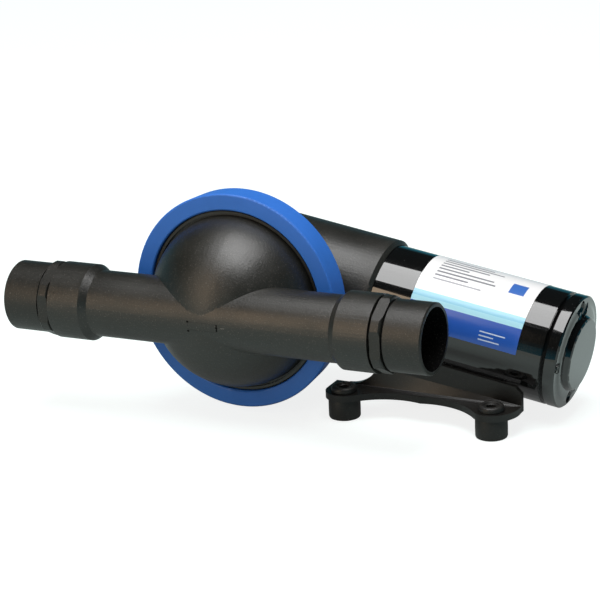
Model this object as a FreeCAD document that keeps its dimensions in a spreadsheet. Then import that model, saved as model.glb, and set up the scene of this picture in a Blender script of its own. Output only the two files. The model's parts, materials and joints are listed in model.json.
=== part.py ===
import FreeCAD, Part
import math
import os
import re
import Sketcher
from FreeCAD import Placement, Rotation, Vector

# Motor-driven diaphragm bilge pump, in millimetres.
#
# World frame: the origin is midway between the four mounting holes, on the floor. +X runs towards
# the tail of the motor, and the diaphragm looks along -Y.
# Pump frame: its X is the motor axis, which falls towards the tail by tilt_angle. Its origin is
# the point where the diaphragm axis crosses the motor axis, axis_height above the floor. Places
# along X in the sheet are counted from there.
# Head frame: the pump frame turned about the diaphragm axis, so that its X is the manifold's axis.

SIZES = (
    # stance
    ("axis_height", 66.4, "height of the motor axis at the diaphragm axis"),
    ("tilt_angle", 9.1, "fall of the motor axis towards its tail, degrees"),
    ("swivel_angle", 9.8, "turn of the pump head against the motor axis, degrees"),
    ("running_gap", 0.03, "radial play of a shaft in its bearing"),
    ("seat_gap", 0.3, "gap between parts that turn or lift past each other"),
    # motor tube, which the casing, the gears and the cradle are fitted to
    ("motor_radius", 31.75, "outside of the motor tube"),
    ("motor_wall", 1.85, "wall of the motor tube"),
    # pump body
    ("mouth_play", 0.2, "play of the motor tube in the casing's mouth"),
    ("mouth_wall", 2.25, "wall of the casing round the motor tube"),
    ("body_radius", "=motor_radius + mouth_play + mouth_wall", "outside of the gear and crank casing"),
    ("motor_ledge", 1.15, "ledge in the casing that the motor rests on"),
    ("gear_bore", "=motor_radius - motor_ledge", "bore that holds the ring gear"),
    ("mouth_bore", "=motor_radius + mouth_play", "counterbore that takes the motor tube"),
    ("crank_wall", 5.2, "wall of the casing round the crank"),
    ("crank_bore", "=body_radius - crank_wall", "bore of the crank chamber"),
    ("casing_start", -24.0, "closed end of the casing"),
    ("casing_wall", 4.0, "end wall of the casing"),
    ("bulkhead_start", 17.0, "crank side of the bearing wall"),
    ("bulkhead_end", 28.0, "gear side of the bearing wall"),
    ("gear_seat", 34.0, "step that the ring gear rests on"),
    ("mouth_start", 55.0, "step that the motor rests on"),
    ("casing_end", 67.5, "mouth of the casing"),
    ("rim_chamfer", 2.0, "chamfer round the mouth"),
    ("flange_thickness", 3.0, "clamp flange of the body"),
    ("clamp_plane", 50.0, "front of the body flange, before the motor axis"),
    ("flange_radius", 56.6, "clamp flanges of body and head"),
    ("dish_margin", 4.6, "flange outside the dish"),
    ("dish_radius", "=flange_radius - dish_margin", "outside of the dish behind the body flange"),
    ("dish_flare", 15.0, "narrowing of the dish towards the casing"),
    ("dish_back_radius", "=dish_radius - dish_flare", "outside of the dish where it meets the casing"),
    ("dish_back", 18.0, "plane where the dish meets the casing"),
    ("dish_wall", 5.5, "wall of the dish at its mouth"),
    ("dish_mouth", "=dish_radius - dish_wall", "open front of the dish"),
    ("dish_slope", 9.0, "narrowing of the dish inside"),
    ("dish_floor_radius", "=dish_mouth - dish_slope", "inside of the dish at its floor"),
    ("dish_floor", 31.5, "plane of the dish floor"),
    ("rod_window", 25.0, "half height of the window for the rod"),
    # clamp ring
    ("ring_wall", 5.2, "clamp ring round the flanges"),
    ("ring_radius", "=flange_radius + ring_wall", "front of the clamp ring, outside"),
    ("ring_taper", 1.1, "draft of the clamp ring's outside"),
    ("ring_back_radius", "=ring_radius - ring_taper", "back of the clamp ring, outside"),
    ("ring_cover", 4.3, "clamp ring over the front of the flange"),
    ("ring_inner_radius", "=flange_radius - ring_cover", "front of the clamp ring, inside"),
    ("ring_front", 60.1, "front face of the clamp ring"),
    ("ring_back", 43.7, "back face of the clamp ring"),
    ("ring_edge", 1.0, "rounding of the ring's front edges"),
    ("lug_reach", 2.6, "radial reach of a bayonet lug"),
    ("lug_sweep", 24.0, "length of a bayonet lug, degrees"),
    ("notch_play", 3.0, "extra length of a notch over a lug, degrees"),
    # diaphragm
    ("bead_overlap", 1.6, "bead inside the dome's edge"),
    ("bead_inner_radius", "=dome_radius - dome_wall - bead_overlap", "inner edge of the clamped bead"),
    ("bead_margin", 1.1, "flange outside the bead"),
    ("bead_radius", "=flange_radius - bead_margin", "outer edge of the clamped bead"),
    ("bead_thickness", 1.7, "clamped bead"),
    ("web_thickness", 2.0, "rubber between the two plates"),
    ("roll_width", 20.5, "width of the rolling fold"),
    ("roll_inner_radius", "=bead_inner_radius - roll_width", "inner edge of the rolling fold"),
    ("roll_radius", 13.5, "radius of the rolling fold"),
    # pump head
    ("head_plane", 52.0, "back of the head flange"),
    ("head_flange", 5.0, "thickness of the head flange"),
    ("lip_foot", 2.3, "step from the lip in to the dome"),
    ("dome_radius", "=lip_radius - lip_foot", "outside of the dome"),
    ("dome_centre", 52.7, "centre plane of the dome"),
    ("dome_wall", 3.2, "wall of the dome"),
    ("lip_gap", 0.7, "gap between the lip and the clamp ring"),
    ("lip_radius", "=ring_inner_radius - lip_gap", "outside of the raised lip on the flange"),
    ("lip_height", 1.6, "height of the raised lip"),
    ("lip_width", 1.4, "width of the raised lip"),
    ("manifold_sink", 18.0, "depth of the manifold's axis in the dome"),
    ("manifold_offset", "=dome_centre + dome_radius - manifold_sink",
     "manifold axis before the motor axis"),
    ("manifold_shift", 4.0, "middle of the manifold from the diaphragm axis, towards the outlet"),
    ("manifold_radius", 18.5, "outside of the manifold tube"),
    ("manifold_bore", 15.2, "bore of the manifold tube"),
    ("collar_radius", 21.4, "outside of the valve collars"),
    ("collar_bore", 17.6, "counterbore of the valve collars"),
    ("collar_start", 74.0, "foot of the ramp up to the collar"),
    ("collar_ramp", 4.0, "length of that ramp"),
    ("valve_seat", 80.0, "bottom of the counterbore"),
    ("collar_end", 97.5, "mouth of the collar"),
    # hose ports
    ("port_reach", 127.0, "end of a hose port from the manifold's middle"),
    ("spigot_radius", 19.5, "outside of the hose spigot, for 38 mm hose"),
    ("spigot_wall", 2.3, "wall of the hose spigot"),
    ("spigot_start", 105.5, "hose stop"),
    ("nut_start", 98.4, "inner side of the six-sided flange"),
    ("nut_flat", 19.9, "half the width of the flange across its flats"),
    ("groove_radius", 18.6, "bottom of the grooves beside the flange"),
    ("plug_start", 84.0, "inner end of the plug in the collar"),
    ("plug_radius", 17.4, "outside of the plug"),
    ("plug_bore", 14.8, "bore of the plug"),
    ("seal_centre", 91.5, "middle of the O-ring groove"),
    ("seal_width", 2.0, "section of the O-ring"),
    ("valve_flange", 3.4, "thickness of a valve's flange"),
    ("valve_root", 13.4, "outside of a valve's bill at its flange"),
    ("valve_wall", 1.8, "wall of a valve's bill"),
    ("valve_lip", 1.3, "half thickness of the closed bill"),
    ("valve_length", 25.0, "length of the bill"),
    # crank and rod
    ("crank_throw", 4.0, "eccentricity of the crank"),
    ("pin_radius", 8.0, "crank pin"),
    ("pin_length", 14.5, "crank pin"),
    ("web_radius", 13.0, "disc of the crank web"),
    ("web_start", 7.5, "crank web, near the rod"),
    ("web_end", 12.5, "crank web, near the bearing"),
    ("weight_radius", 24.0, "counterweight"),
    ("weight_sweep", 120.0, "spread of the counterweight, degrees"),
    ("journal_radius", 9.0, "journal of the crankshaft"),
    ("bearing_radius", 16.0, "outside of the crank bearing"),
    ("bearing_width", 10.0, "width of the crank bearing"),
    ("rod_width", 12.0, "thickness of the rod along the crank"),
    ("rod_bearing_radius", 13.0, "outside of the rod bearing"),
    ("rod_eye_radius", 18.5, "outside of the rod's big end"),
    ("rod_shank", 11.0, "width of the rod's shank"),
    ("rod_boss_radius", 9.0, "boss under the diaphragm plates"),
    ("rod_boss_height", 9.0, "boss under the diaphragm plates"),
    ("plate_margin", 3.0, "flat rubber outside the plates"),
    ("plate_radius", "=roll_inner_radius - plate_margin", "diaphragm plates"),
    ("back_plate", 2.5, "thickness of the back plate"),
    ("front_plate", 3.0, "thickness of the front plate"),
    ("plate_plane", 44.0, "back of the back plate, crank at its back dead centre"),
    ("plate_screw_radius", 3.0, "shank of the diaphragm screw"),
    ("plate_screw_head", 6.5, "head of the diaphragm screw"),
    ("plate_screw_length", 14.0, "shank of the diaphragm screw under its head"),
    ("head_height", 4.0, "height of the heads of the diaphragm and crank screws"),
    ("crank_screw_radius", 2.5, "shank of the crank screw"),
    ("crank_washer_radius", 10.5, "washer that keeps the rod on its pin"),
    ("washer_thickness", 1.5, "that washer"),
    # gears
    ("gear_rim", 5.4, "ring gear outside the roots of its teeth"),
    ("gear_module", "=(gear_bore - gear_rim) / 25.2", "module of all three gears"),
    ("gear_backlash", 0.2, "play between meshing teeth, on the pitch circle"),
    ("gear_start", 35.5, "front of the planet gears"),
    ("gear_width", 11.5, "face width of the planet gears"),
    ("ring_gear_end", 54.8, "back of the ring gear"),
    ("carrier_gap", 1.6, "gap between the carrier and the ring gear's teeth"),
    ("carrier_radius", "=gear_module * 23.1 - carrier_gap", "both plates of the carrier"),
    ("carrier_start", 29.5, "front plate of the carrier"),
    ("carrier_thickness", 4.0, "front plate of the carrier"),
    ("retainer_start", 47.5, "back plate of the carrier"),
    ("retainer_thickness", 2.0, "back plate of the carrier"),
    ("retainer_bore", 9.0, "hole in the back plate round the sun gear"),
    ("planet_pin_radius", 2.5, "pins of the planet gears"),
    # motor
    ("tube_start", 58.0, "front end of the motor tube"),
    ("tube_end", 170.8, "back end of the motor tube"),
    ("cap_start", 173.0, "rim of the end cap, behind the open seam"),
    ("motor_end", 179.8, "shoulder of the end cap"),
    ("cap_spigot", 4.5, "spigot of the end cap in the tube"),
    ("rim_width", 3.15, "rim of the end cap round the boss"),
    ("boss_radius", "=motor_radius - rim_width", "foot of the boss on the end cap"),
    ("lower_slope", 3.8, "width of the boss's lower slope"),
    ("shelf_radius", "=boss_radius - lower_slope", "top of the boss's lower slope"),
    ("shelf_width", 3.4, "flat shelf between the two slopes"),
    ("flank_radius", "=shelf_radius - shelf_width", "foot of the boss's upper flank"),
    ("shelf_height", 1.2, "height of the lower slope"),
    ("upper_slope", 1.9, "width of the boss's upper slope"),
    ("crown_radius", "=flank_radius - upper_slope", "flat top of the boss"),
    ("crown_height", 4.4, "height of the boss"),
    ("cap_skirt", 8.0, "thickness of the end cap's skirt inside the tube"),
    ("bolt_inset", 2.9, "axis of a through bolt inside the tube's wall"),
    ("bolt_circle", "=motor_radius - motor_wall - bolt_inset",
     "radius at which the two through bolts run"),
    ("bolt_radius", 1.5, "through bolts"),
    ("bolt_head_radius", 3.1, "heads of the through bolts"),
    ("bolt_head_height", 2.4, "heads of the through bolts"),
    ("bolt_seat", 1.6, "depth of the seats for the bolt heads"),
    ("bolt_tip", 24.0, "tip of the through bolts in the bearing wall"),
    ("bolt_notch", 9.5, "notch in the boss at a bolt head"),
    ("notch_offset", 3.4, "centre of the notch outside the bolt"),
    ("notch_place", "=bolt_circle + notch_offset", "centre of that notch from the motor axis"),
    ("plate_boss_radius", 10.0, "nose of the motor's front plate"),
    ("plate_boss_start", 51.5, "nose of the motor's front plate"),
    ("plate_spigot_end", 61.5, "spigot of the motor's front plate"),
    ("shaft_radius", 4.0, "motor shaft"),
    ("shaft_nose_radius", 3.0, "motor shaft under the sun gear"),
    ("shaft_end", 176.5, "back end of the motor shaft"),
    ("sun_end", 50.8, "back of the sun gear"),
    ("motor_bearing_radius", 8.0, "motor bearings"),
    ("front_bearing_start", 56.0, "front motor bearing"),
    ("rear_bearing_start", 171.0, "rear motor bearing"),
    ("motor_bearing_width", 5.0, "motor bearings"),
    ("seal_start", 51.9, "shaft seal"),
    ("seal_length", 2.8, "shaft seal"),
    ("seal_radius", 7.0, "shaft seal"),
    ("air_gap", 0.9, "gap between armature and magnets"),
    ("core_radius", "=magnet_radius - air_gap", "armature core"),
    ("core_start", 78.0, "armature core"),
    ("core_end", 138.0, "armature core"),
    ("slot_width", 5.0, "winding slots of the core"),
    ("slot_depth", 8.0, "winding slots of the core"),
    ("slot_opening", 2.0, "mouth of a winding slot"),
    ("slot_count", 10, "winding slots of the core"),
    ("winding_overhang", 9.5, "end turns beyond the core"),
    ("winding_inset", 3.1, "end turns inside the core's outside"),
    ("winding_radius", "=core_radius - winding_inset", "outside of the end turns"),
    ("commutator_start", 150.0, "commutator"),
    ("commutator_length", 11.0, "commutator"),
    ("commutator_radius", 10.5, "commutator"),
    ("magnet_thickness", 5.4, "field magnets"),
    ("magnet_radius", "=motor_radius - motor_wall - magnet_thickness", "inside of the field magnets"),
    ("magnet_start", 72.0, "field magnets"),
    ("magnet_end", 142.0, "field magnets"),
    ("magnet_sweep", 126.0, "spread of a field magnet, degrees"),
    ("brush_plate_start", 152.0, "brush holder"),
    ("brush_plate_thickness", 7.0, "brush holder"),
    ("brush_plate_bore", 13.5, "brush holder"),
    ("brush_width", 5.0, "brush along the shaft"),
    ("brush_height", 7.0, "brush across the shaft"),
    ("brush_end", 22.0, "outer end of a brush"),
    ("gland_place", 174.8, "hole for the leads in the end cap"),
    ("gland_radius", 3.2, "hole for the leads in the end cap"),
    # base
    ("foot_front", 57.0, "front pair of feet"),
    ("foot_back", 145.0, "back pair of feet"),
    ("foot_gap", 11.0, "feet outside the walls"),
    ("foot_side", "=wall_outside + foot_gap", "feet to either side of the motor"),
    ("foot_radius", 8.9, "rubber foot"),
    ("foot_height", 11.5, "rubber foot under the plate"),
    ("foot_neck", 6.0, "neck of the foot in the plate"),
    ("foot_cap_radius", 7.3, "cap of the foot over the plate"),
    ("foot_cap_height", 3.2, "cap of the foot over the plate"),
    ("mount_hole", 2.75, "hole through the feet, for an M5 screw"),
    ("plate_thickness", 3.8, "wings of the base"),
    ("ear_radius", 11.0, "round ears of the wings"),
    ("ear_offset", 1.5, "centre of an ear from its foot, towards the motor"),
    ("waist_width", 6.5, "wing at its narrowest"),
    ("wing_waist", "=wall_outside + waist_width", "wing edge at its narrowest"),
    ("wing_end", 158.3, "tail end of the base"),
    ("wing_corner", 18.0, "rounding of the wings' tail corners"),
    ("wall_inset", 0.25, "outside of the walls inside that of the motor"),
    ("wall_outside", "=motor_radius - wall_inset", "side walls of the cradle"),
    ("wall_thickness", 3.0, "side walls of the cradle"),
    ("wall_corner", 3.2, "bevel on the tail corners of the walls"),
    ("cradle_thickness", 3.0, "trough under the motor"),
    ("cradle_start", 78.0, "front end of the trough, along the motor"),
    ("cradle_end", 151.0, "tail end of the trough, along the motor"),
    ("cradle_drop", 15.6, "top edge of the walls under the motor axis"),
    ("shoulder_radius", 20.5, "hollow at the front end of the walls"),
    ("shoulder_x", 54.3, "centre of that hollow"),
    ("shoulder_z", 36.1, "centre of that hollow"),
    ("cradle_screw_front", 92.0, "front cradle screw, along the motor"),
    ("cradle_screw_back", 142.0, "back cradle screw, along the motor"),
    ("cradle_screw_radius", 2.0, "cradle screws"),
    ("cradle_screw_head", 4.0, "heads of the cradle screws"),
    ("cradle_screw_height", 2.4, "heads of the cradle screws"),
)

SUN_TEETH = 12
PLANET_TEETH = 18
RING_TEETH = 2 * PLANET_TEETH + SUN_TEETH
PLANETS = 3
LUGS = 4
CRADLE_SCREWS = ("cradle_screw_front", "cradle_screw_back")
PRESSURE_ANGLE = math.radians(25)

doc = FreeCAD.newDocument("diaphragm_bilge_pump")
sheet = doc.addObject("Spreadsheet::Sheet", "Sizes")
for row, (alias, value, note) in enumerate(SIZES, start=1):
    sheet.set("A%d" % row, alias)
    sheet.setAlias("B%d" % row, alias)
    sheet.set("C%d" % row, note)
for row, (alias, value, note) in enumerate(SIZES, start=1):
    sheet.set("B%d" % row, str(value))
doc.recompute()

pieces = {}


# ---- helpers -------------------------------------------------------------------------------

def bound(text):
    """An expression in the words of the sheet, as the objects of the document need it."""
    return re.sub(r"\b([a-z]+(?:_[a-z]+)+)\b", r"Sizes.\1", text)


def size(text):
    """The number that such an expression gives."""
    return float(sheet.evalExpression(text))


def bind(thing, **fields):
    for field, text in fields.items():
        thing.setExpression(field.replace("__", "."), bound(text))
    return thing


def new_sketch(body, plane):
    sketch = body.newObject("Sketcher::SketchObject", body.Name + "Sketch")
    face = [f for f in body.Origin.OriginFeatures if f.Role == plane][0]
    sketch.AttachmentSupport = [(face, "")]
    sketch.MapMode = "FlatFace"
    return sketch


def hold(sketch, kind, curve, end, text, value):
    """Ties one coordinate of a curve's end to an expression."""
    if text == "0":
        axis = -2 if kind == "DistanceX" else -1
        sketch.addConstraint(Sketcher.Constraint("PointOnObject", curve, end, axis))
        return
    index = sketch.addConstraint(Sketcher.Constraint(kind, -1, 1, curve, end, value))
    sketch.setExpression("Constraints[%d]" % index, bound(text))


def outline(sketch, corners):
    """A closed outline through corners (across, up). A third entry makes the stretch to the next
    corner an arc of that radius, bulging to the left of the way there, or to the right if it
    starts with a minus."""
    spots = [Vector(size(c[0]), size(c[1]), 0) for c in corners]
    starts, ends = [], []
    for i, corner in enumerate(corners):
        a, b = spots[i], spots[(i + 1) % len(spots)]
        if len(corner) == 2:
            curve = sketch.addGeometry(Part.LineSegment(a, b), False)
            starts.append((curve, 1))
            ends.append((curve, 2))
            continue
        text = corner[2].lstrip("-")
        side = -1 if corner[2].startswith("-") else 1
        radius = size(text)
        chord = b - a
        left = Vector(-chord.y, chord.x, 0).normalize() * side
        rise = radius - math.sqrt(radius ** 2 - (chord.Length / 2) ** 2)
        curve = sketch.addGeometry(Part.Arc(a, (a + b) / 2 + left * rise, b), False)
        forward = (sketch.getPoint(curve, 1) - a).Length < (sketch.getPoint(curve, 2) - a).Length
        starts.append((curve, 1 if forward else 2))
        ends.append((curve, 2 if forward else 1))
    for i in range(len(corners)):
        curve, end = ends[i]
        following, start = starts[(i + 1) % len(corners)]
        sketch.addConstraint(Sketcher.Constraint("Coincident", curve, end, following, start))
    for i, corner in enumerate(corners):
        curve, start = starts[i]
        hold(sketch, "DistanceX", curve, start, corner[0], spots[i].x)
        hold(sketch, "DistanceY", curve, start, corner[1], spots[i].y)
        if len(corner) == 3:
            text = corner[2].lstrip("-")
            index = sketch.addConstraint(Sketcher.Constraint("Radius", curve, size(text)))
            sketch.setExpression("Constraints[%d]" % index, bound(text))


def turned(name, corners, about="X"):
    """A body of revolution. About X the corners are (along, radius), about Y (radius, y)."""
    body = doc.addObject("PartDesign::Body", name)
    sketch = new_sketch(body, "XY_Plane")
    outline(sketch, corners)
    turn = body.newObject("PartDesign::Revolution", name + "Turn")
    turn.Profile = sketch
    turn.ReferenceAxis = (sketch, ["H_Axis" if about == "X" else "V_Axis"])
    turn.Angle = 360
    return body


def padded(name, plane, corners, length):
    """A body padded both ways from its plane, by half its length each."""
    body = doc.addObject("PartDesign::Body", name)
    sketch = new_sketch(body, plane)
    outline(sketch, corners)
    pad = body.newObject("PartDesign::Pad", name + "Pad")
    pad.Profile = sketch
    pad.Midplane = True
    bind(pad, Length=length)
    return body


def ring(name, low, high, outer, inner=None):
    """A turned tube or disc from low to high along X."""
    if inner is None:
        return turned(name, [(low, "0"), (high, "0"), (high, outer), (low, outer)])
    return turned(name, [(low, inner), (high, inner), (high, outer), (low, outer)])


TURNS = {"X": Rotation(Vector(0, 1, 0), 90), "-Y": Rotation(Vector(1, 0, 0), 90), "Z": Rotation()}


def rod(name, radius, length, along="X", x="0", y="0", z="0", sweep=None):
    """A cylinder, or with a sweep a sector of one, that starts at (x, y, z)."""
    cylinder = doc.addObject("Part::Cylinder", name)
    cylinder.Placement = Placement(Vector(), TURNS[along])
    bind(cylinder, Radius=radius, Height=length, Placement__Base__x=x, Placement__Base__y=y,
         Placement__Base__z=z)
    if sweep:
        bind(cylinder, Angle=sweep)
    return cylinder


def block(name, x, y, z):
    """A box between two places on each axis."""
    box = doc.addObject("Part::Box", name)
    for field, axis, (low, high) in (("Length", "x", x), ("Width", "y", y), ("Height", "z", z)):
        bind(box, **{field: "(%s) - (%s)" % (high, low), "Placement__Base__" + axis: low})
    return box


def fused(name, *shapes):
    result = doc.addObject("Part::MultiFuse", name)
    result.Shapes = list(shapes)
    return result


def cut(name, base, *tools):
    result = doc.addObject("Part::Cut", name)
    result.Base = base
    result.Tool = tools[0] if len(tools) == 1 else fused(name + "Tools", *tools)
    return result


def group(name, *solids):
    """Separate solids that share one node."""
    result = doc.addObject("Part::Compound", name)
    result.Links = list(solids)
    return result


def mirrored(name, source, normal):
    """The source reflected in the plane through the origin with that normal."""
    result = doc.addObject("Part::Mirroring", name)
    result.Source = source
    result.Normal = normal
    return result


def worked(name, shape):
    """A piece that sketches and primitives suit badly, made from the sheet's sizes in code. Any
    placement of the shape goes into its geometry, because the feature gets one of its own."""
    place = shape.Placement.toMatrix()
    shape.Placement = Placement()
    feature = doc.addObject("Part::Feature", name)
    feature.Shape = shape.transformed(place, copy=True)
    return feature


def keep(name, thing, turn=None):
    """Makes a node of a piece, turned about the diaphragm axis and moved to the world frame."""
    thing.Label = name
    pieces[name] = thing
    if turn:
        tilt(thing, turn)
    bind(thing, Placement__Base__x="-(foot_front + foot_back) / 2")


def tilt(thing, turn="tilt_angle"):
    thing.Placement = Placement(Vector(), Rotation(Vector(0, 1, 0), 1))
    return bind(thing, Placement__Base__z="axis_height",
                Placement__Rotation__Angle="(%s) * 1 deg" % turn)


def pump_piece(name, thing):
    keep(name, thing, "tilt_angle")


def head_piece(name, thing):
    keep(name, thing, "tilt_angle - swivel_angle")


def port_piece(name, thing, side):
    """A piece drawn along the manifold's axis from its middle; side is 1 for the outlet and -1
    for the inlet."""
    keep(name, thing, "tilt_angle - swivel_angle + %d" % (0 if side > 0 else 180))
    lean = "(tilt_angle - swivel_angle) * 1 deg"
    bind(thing, Placement__Base__y="-manifold_offset",
         Placement__Base__x="manifold_shift * cos(%s) - (foot_front + foot_back) / 2" % lean,
         Placement__Base__z="axis_height - manifold_shift * sin(%s)" % lean)


# ---- pump body -----------------------------------------------------------------------------

def sectors(name, outer, depth, place, sweep, turn=0.0):
    """Equal sectors of a disc about the diaphragm axis, one for each bayonet lug."""
    result = []
    for i in range(LUGS):
        sector = rod("%s%d" % (name, i), outer, depth, "-Y", y="-(%s)" % place, sweep=sweep)
        start = turn + 360.0 / LUGS * i
        sector.Placement = Placement(Vector(), Rotation(Vector(0, 1, 0), -start)
                                     .multiply(TURNS["-Y"]))
        bind(sector, Placement__Base__y="-(%s)" % place)
        result.append(sector)
    return result


def pump_body():
    """Casing of crank and gears, with the dish and flange that carry the diaphragm."""
    casing = turned("Casing", [
        ("casing_start", "0"), ("casing_end", "0"),
        ("casing_end", "body_radius - rim_chamfer"), ("casing_end - rim_chamfer", "body_radius"),
        ("casing_start + casing_wall", "body_radius"),
        ("casing_start", "body_radius - casing_wall")])
    dish = turned("Dish", [
        ("0", "-clamp_plane"), ("flange_radius", "-clamp_plane"),
        ("flange_radius", "-(clamp_plane - flange_thickness)"),
        ("dish_radius", "-(clamp_plane - flange_thickness)"),
        ("dish_radius", "-(ring_back - 3)"), ("dish_back_radius", "-dish_back"),
        ("0", "-dish_back")], about="Y")
    crank_room = ring("CrankRoom", "casing_start + casing_wall", "bulkhead_start", "crank_bore")
    gear_room = turned("GearRoom", [
        ("bulkhead_end", "0"), ("casing_end + 1", "0"), ("casing_end + 1", "mouth_bore"),
        ("mouth_start", "mouth_bore"), ("mouth_start", "gear_bore"), ("gear_seat", "gear_bore"),
        ("gear_seat", "carrier_radius + 1.5"), ("bulkhead_end", "carrier_radius + 1.5")])
    bearing_seat = turned("BearingSeat", [
        ("bulkhead_start - 1", "0"), ("bulkhead_end + 1", "0"),
        ("bulkhead_end + 1", "bearing_radius"),
        ("bulkhead_end - bearing_width", "bearing_radius"),
        ("bulkhead_end - bearing_width", "bearing_radius - 2"),
        ("bulkhead_start - 1", "bearing_radius - 2")])
    dish_room = turned("DishRoom", [
        ("0", "-(clamp_plane + 1)"), ("dish_mouth", "-(clamp_plane + 1)"),
        ("dish_mouth", "-(clamp_plane - flange_thickness)"),
        ("dish_floor_radius", "-dish_floor"), ("0", "-dish_floor")], about="Y")
    window = block("RodWindow", ("casing_start + casing_wall", "bulkhead_start"),
                   ("-(dish_floor + 1)", "0"), ("-rod_window", "rod_window"))
    bolt_holes = [rod("BodyBoltHole%d" % i, "bolt_radius", "gear_seat - bolt_tip + 1", x="bolt_tip",
                      z=sign + "bolt_circle") for i, sign in enumerate(("", "-"))]
    notches = sectors("Notch", "flange_radius + 1", "flange_thickness + 2",
                      "clamp_plane - flange_thickness - 1", "lug_sweep + notch_play", 33.0)
    notch_core = rod("NotchCore", "flange_radius - lug_reach", "flange_thickness + 4", "-Y",
                     y="-(clamp_plane - flange_thickness - 2)")
    notch_ring = cut("NotchRing", fused("NotchSectors", *notches), notch_core)
    shell = fused("BodyShell", casing, dish)
    body = cut("PumpBody", shell, crank_room, gear_room, bearing_seat, dish_room, window,
               notch_ring, *bolt_holes)
    pump_piece("pump_body", body)


def clamp_ring():
    """Bayonet ring that holds the head and the diaphragm on the body."""
    skirt = "flange_radius + 0.5"
    lip_back = "-(head_plane + head_flange + seat_gap)"
    hoop = turned("Hoop", [
        (skirt, "-ring_back"), ("ring_back_radius", "-ring_back"),
        ("ring_radius", "-(ring_front - ring_edge)", "ring_edge * 1.2"),
        ("ring_radius - ring_edge", "-ring_front"),
        ("ring_inner_radius + ring_edge", "-ring_front", "ring_edge * 1.2"),
        ("ring_inner_radius", "-(ring_front - ring_edge)"),
        ("ring_inner_radius", lip_back), (skirt, lip_back)], about="Y")
    lug_depth = "clamp_plane - flange_thickness - seat_gap - ring_back"
    wedges = fused("LugSectors", *sectors("Lug", "ring_back_radius - 1", lug_depth, "ring_back",
                                          "lug_sweep"))
    core = rod("LugCore", "flange_radius - lug_reach + seat_gap + 0.2", "ring_front", "-Y", y="0")
    lugs = cut("Lugs", wedges, core)
    pump_piece("clamp_ring", fused("ClampRing", hoop, lugs))


def diaphragm():
    """Rubber disc with a clamped bead, a rolling fold and a flat middle."""
    back = "plate_plane + back_plate"
    front = "plate_plane + back_plate + web_thickness"
    hole = "plate_screw_radius + 0.1"
    body = turned("Diaphragm", [
        (hole, "-(%s)" % back), ("roll_inner_radius - 0.6", "-(%s)" % back, "-(roll_radius - 1.4)"),
        ("bead_inner_radius - 0.8", "-clamp_plane"), ("bead_radius", "-clamp_plane"),
        ("bead_radius", "-(clamp_plane + bead_thickness)"),
        ("bead_inner_radius", "-(clamp_plane + bead_thickness)", "roll_radius"),
        ("roll_inner_radius", "-(%s)" % front), (hole, "-(%s)" % front)], about="Y")
    pump_piece("diaphragm", body)


# ---- pump head and hose ports -----------------------------------------------------------------

def pump_head():
    """Domed head with the manifold tube moulded across it."""
    flange_front = "head_plane + head_flange"
    flange = turned("HeadFlange", [
        ("dome_radius - dome_wall - 0.6", "-head_plane"), ("flange_radius", "-head_plane"),
        ("flange_radius", "-(%s)" % flange_front),
        ("lip_radius", "-(%s)" % flange_front),
        ("lip_radius", "-(%s + lip_height)" % flange_front),
        ("lip_radius - lip_width", "-(%s + lip_height)" % flange_front),
        ("lip_radius - lip_width", "-(%s)" % flange_front),
        ("dome_radius - dome_wall - 0.6", "-(%s)" % flange_front)], about="Y")
    dome = turned("Dome", [
        ("0", "-head_plane"), ("dome_radius", "-head_plane"),
        ("dome_radius", "-dome_centre", "dome_radius + 0.0001"),
        ("0", "-(dome_centre + dome_radius)")], about="Y")
    tube = turned("Manifold", [
        ("-collar_end", "0"), ("collar_end", "0"), ("collar_end", "collar_radius"),
        ("collar_start + collar_ramp", "collar_radius"), ("collar_start", "manifold_radius"),
        ("-collar_start", "manifold_radius"), ("-(collar_start + collar_ramp)", "collar_radius"),
        ("-collar_end", "collar_radius")])
    bind(tube, Placement__Base__x="manifold_shift", Placement__Base__y="-manifold_offset")
    bore = turned("ManifoldBore", [
        ("-(collar_end + 1)", "0"), ("collar_end + 1", "0"), ("collar_end + 1", "collar_bore"),
        ("valve_seat", "collar_bore"), ("valve_seat", "manifold_bore"),
        ("-valve_seat", "manifold_bore"), ("-valve_seat", "collar_bore"),
        ("-(collar_end + 1)", "collar_bore")])
    bind(bore, Placement__Base__x="manifold_shift", Placement__Base__y="-manifold_offset")
    inside = "dome_radius - dome_wall"
    room = turned("DomeRoom", [
        ("0", "-(head_plane - 1)"), (inside, "-(head_plane - 1)"),
        (inside, "-dome_centre", "dome_radius - dome_wall + 0.0001"),
        ("0", "-(dome_centre + %s)" % inside)], about="Y")
    shell = fused("HeadShell", flange, dome, tube)
    head_piece("pump_head", cut("PumpHead", shell, bore, room))


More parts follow.
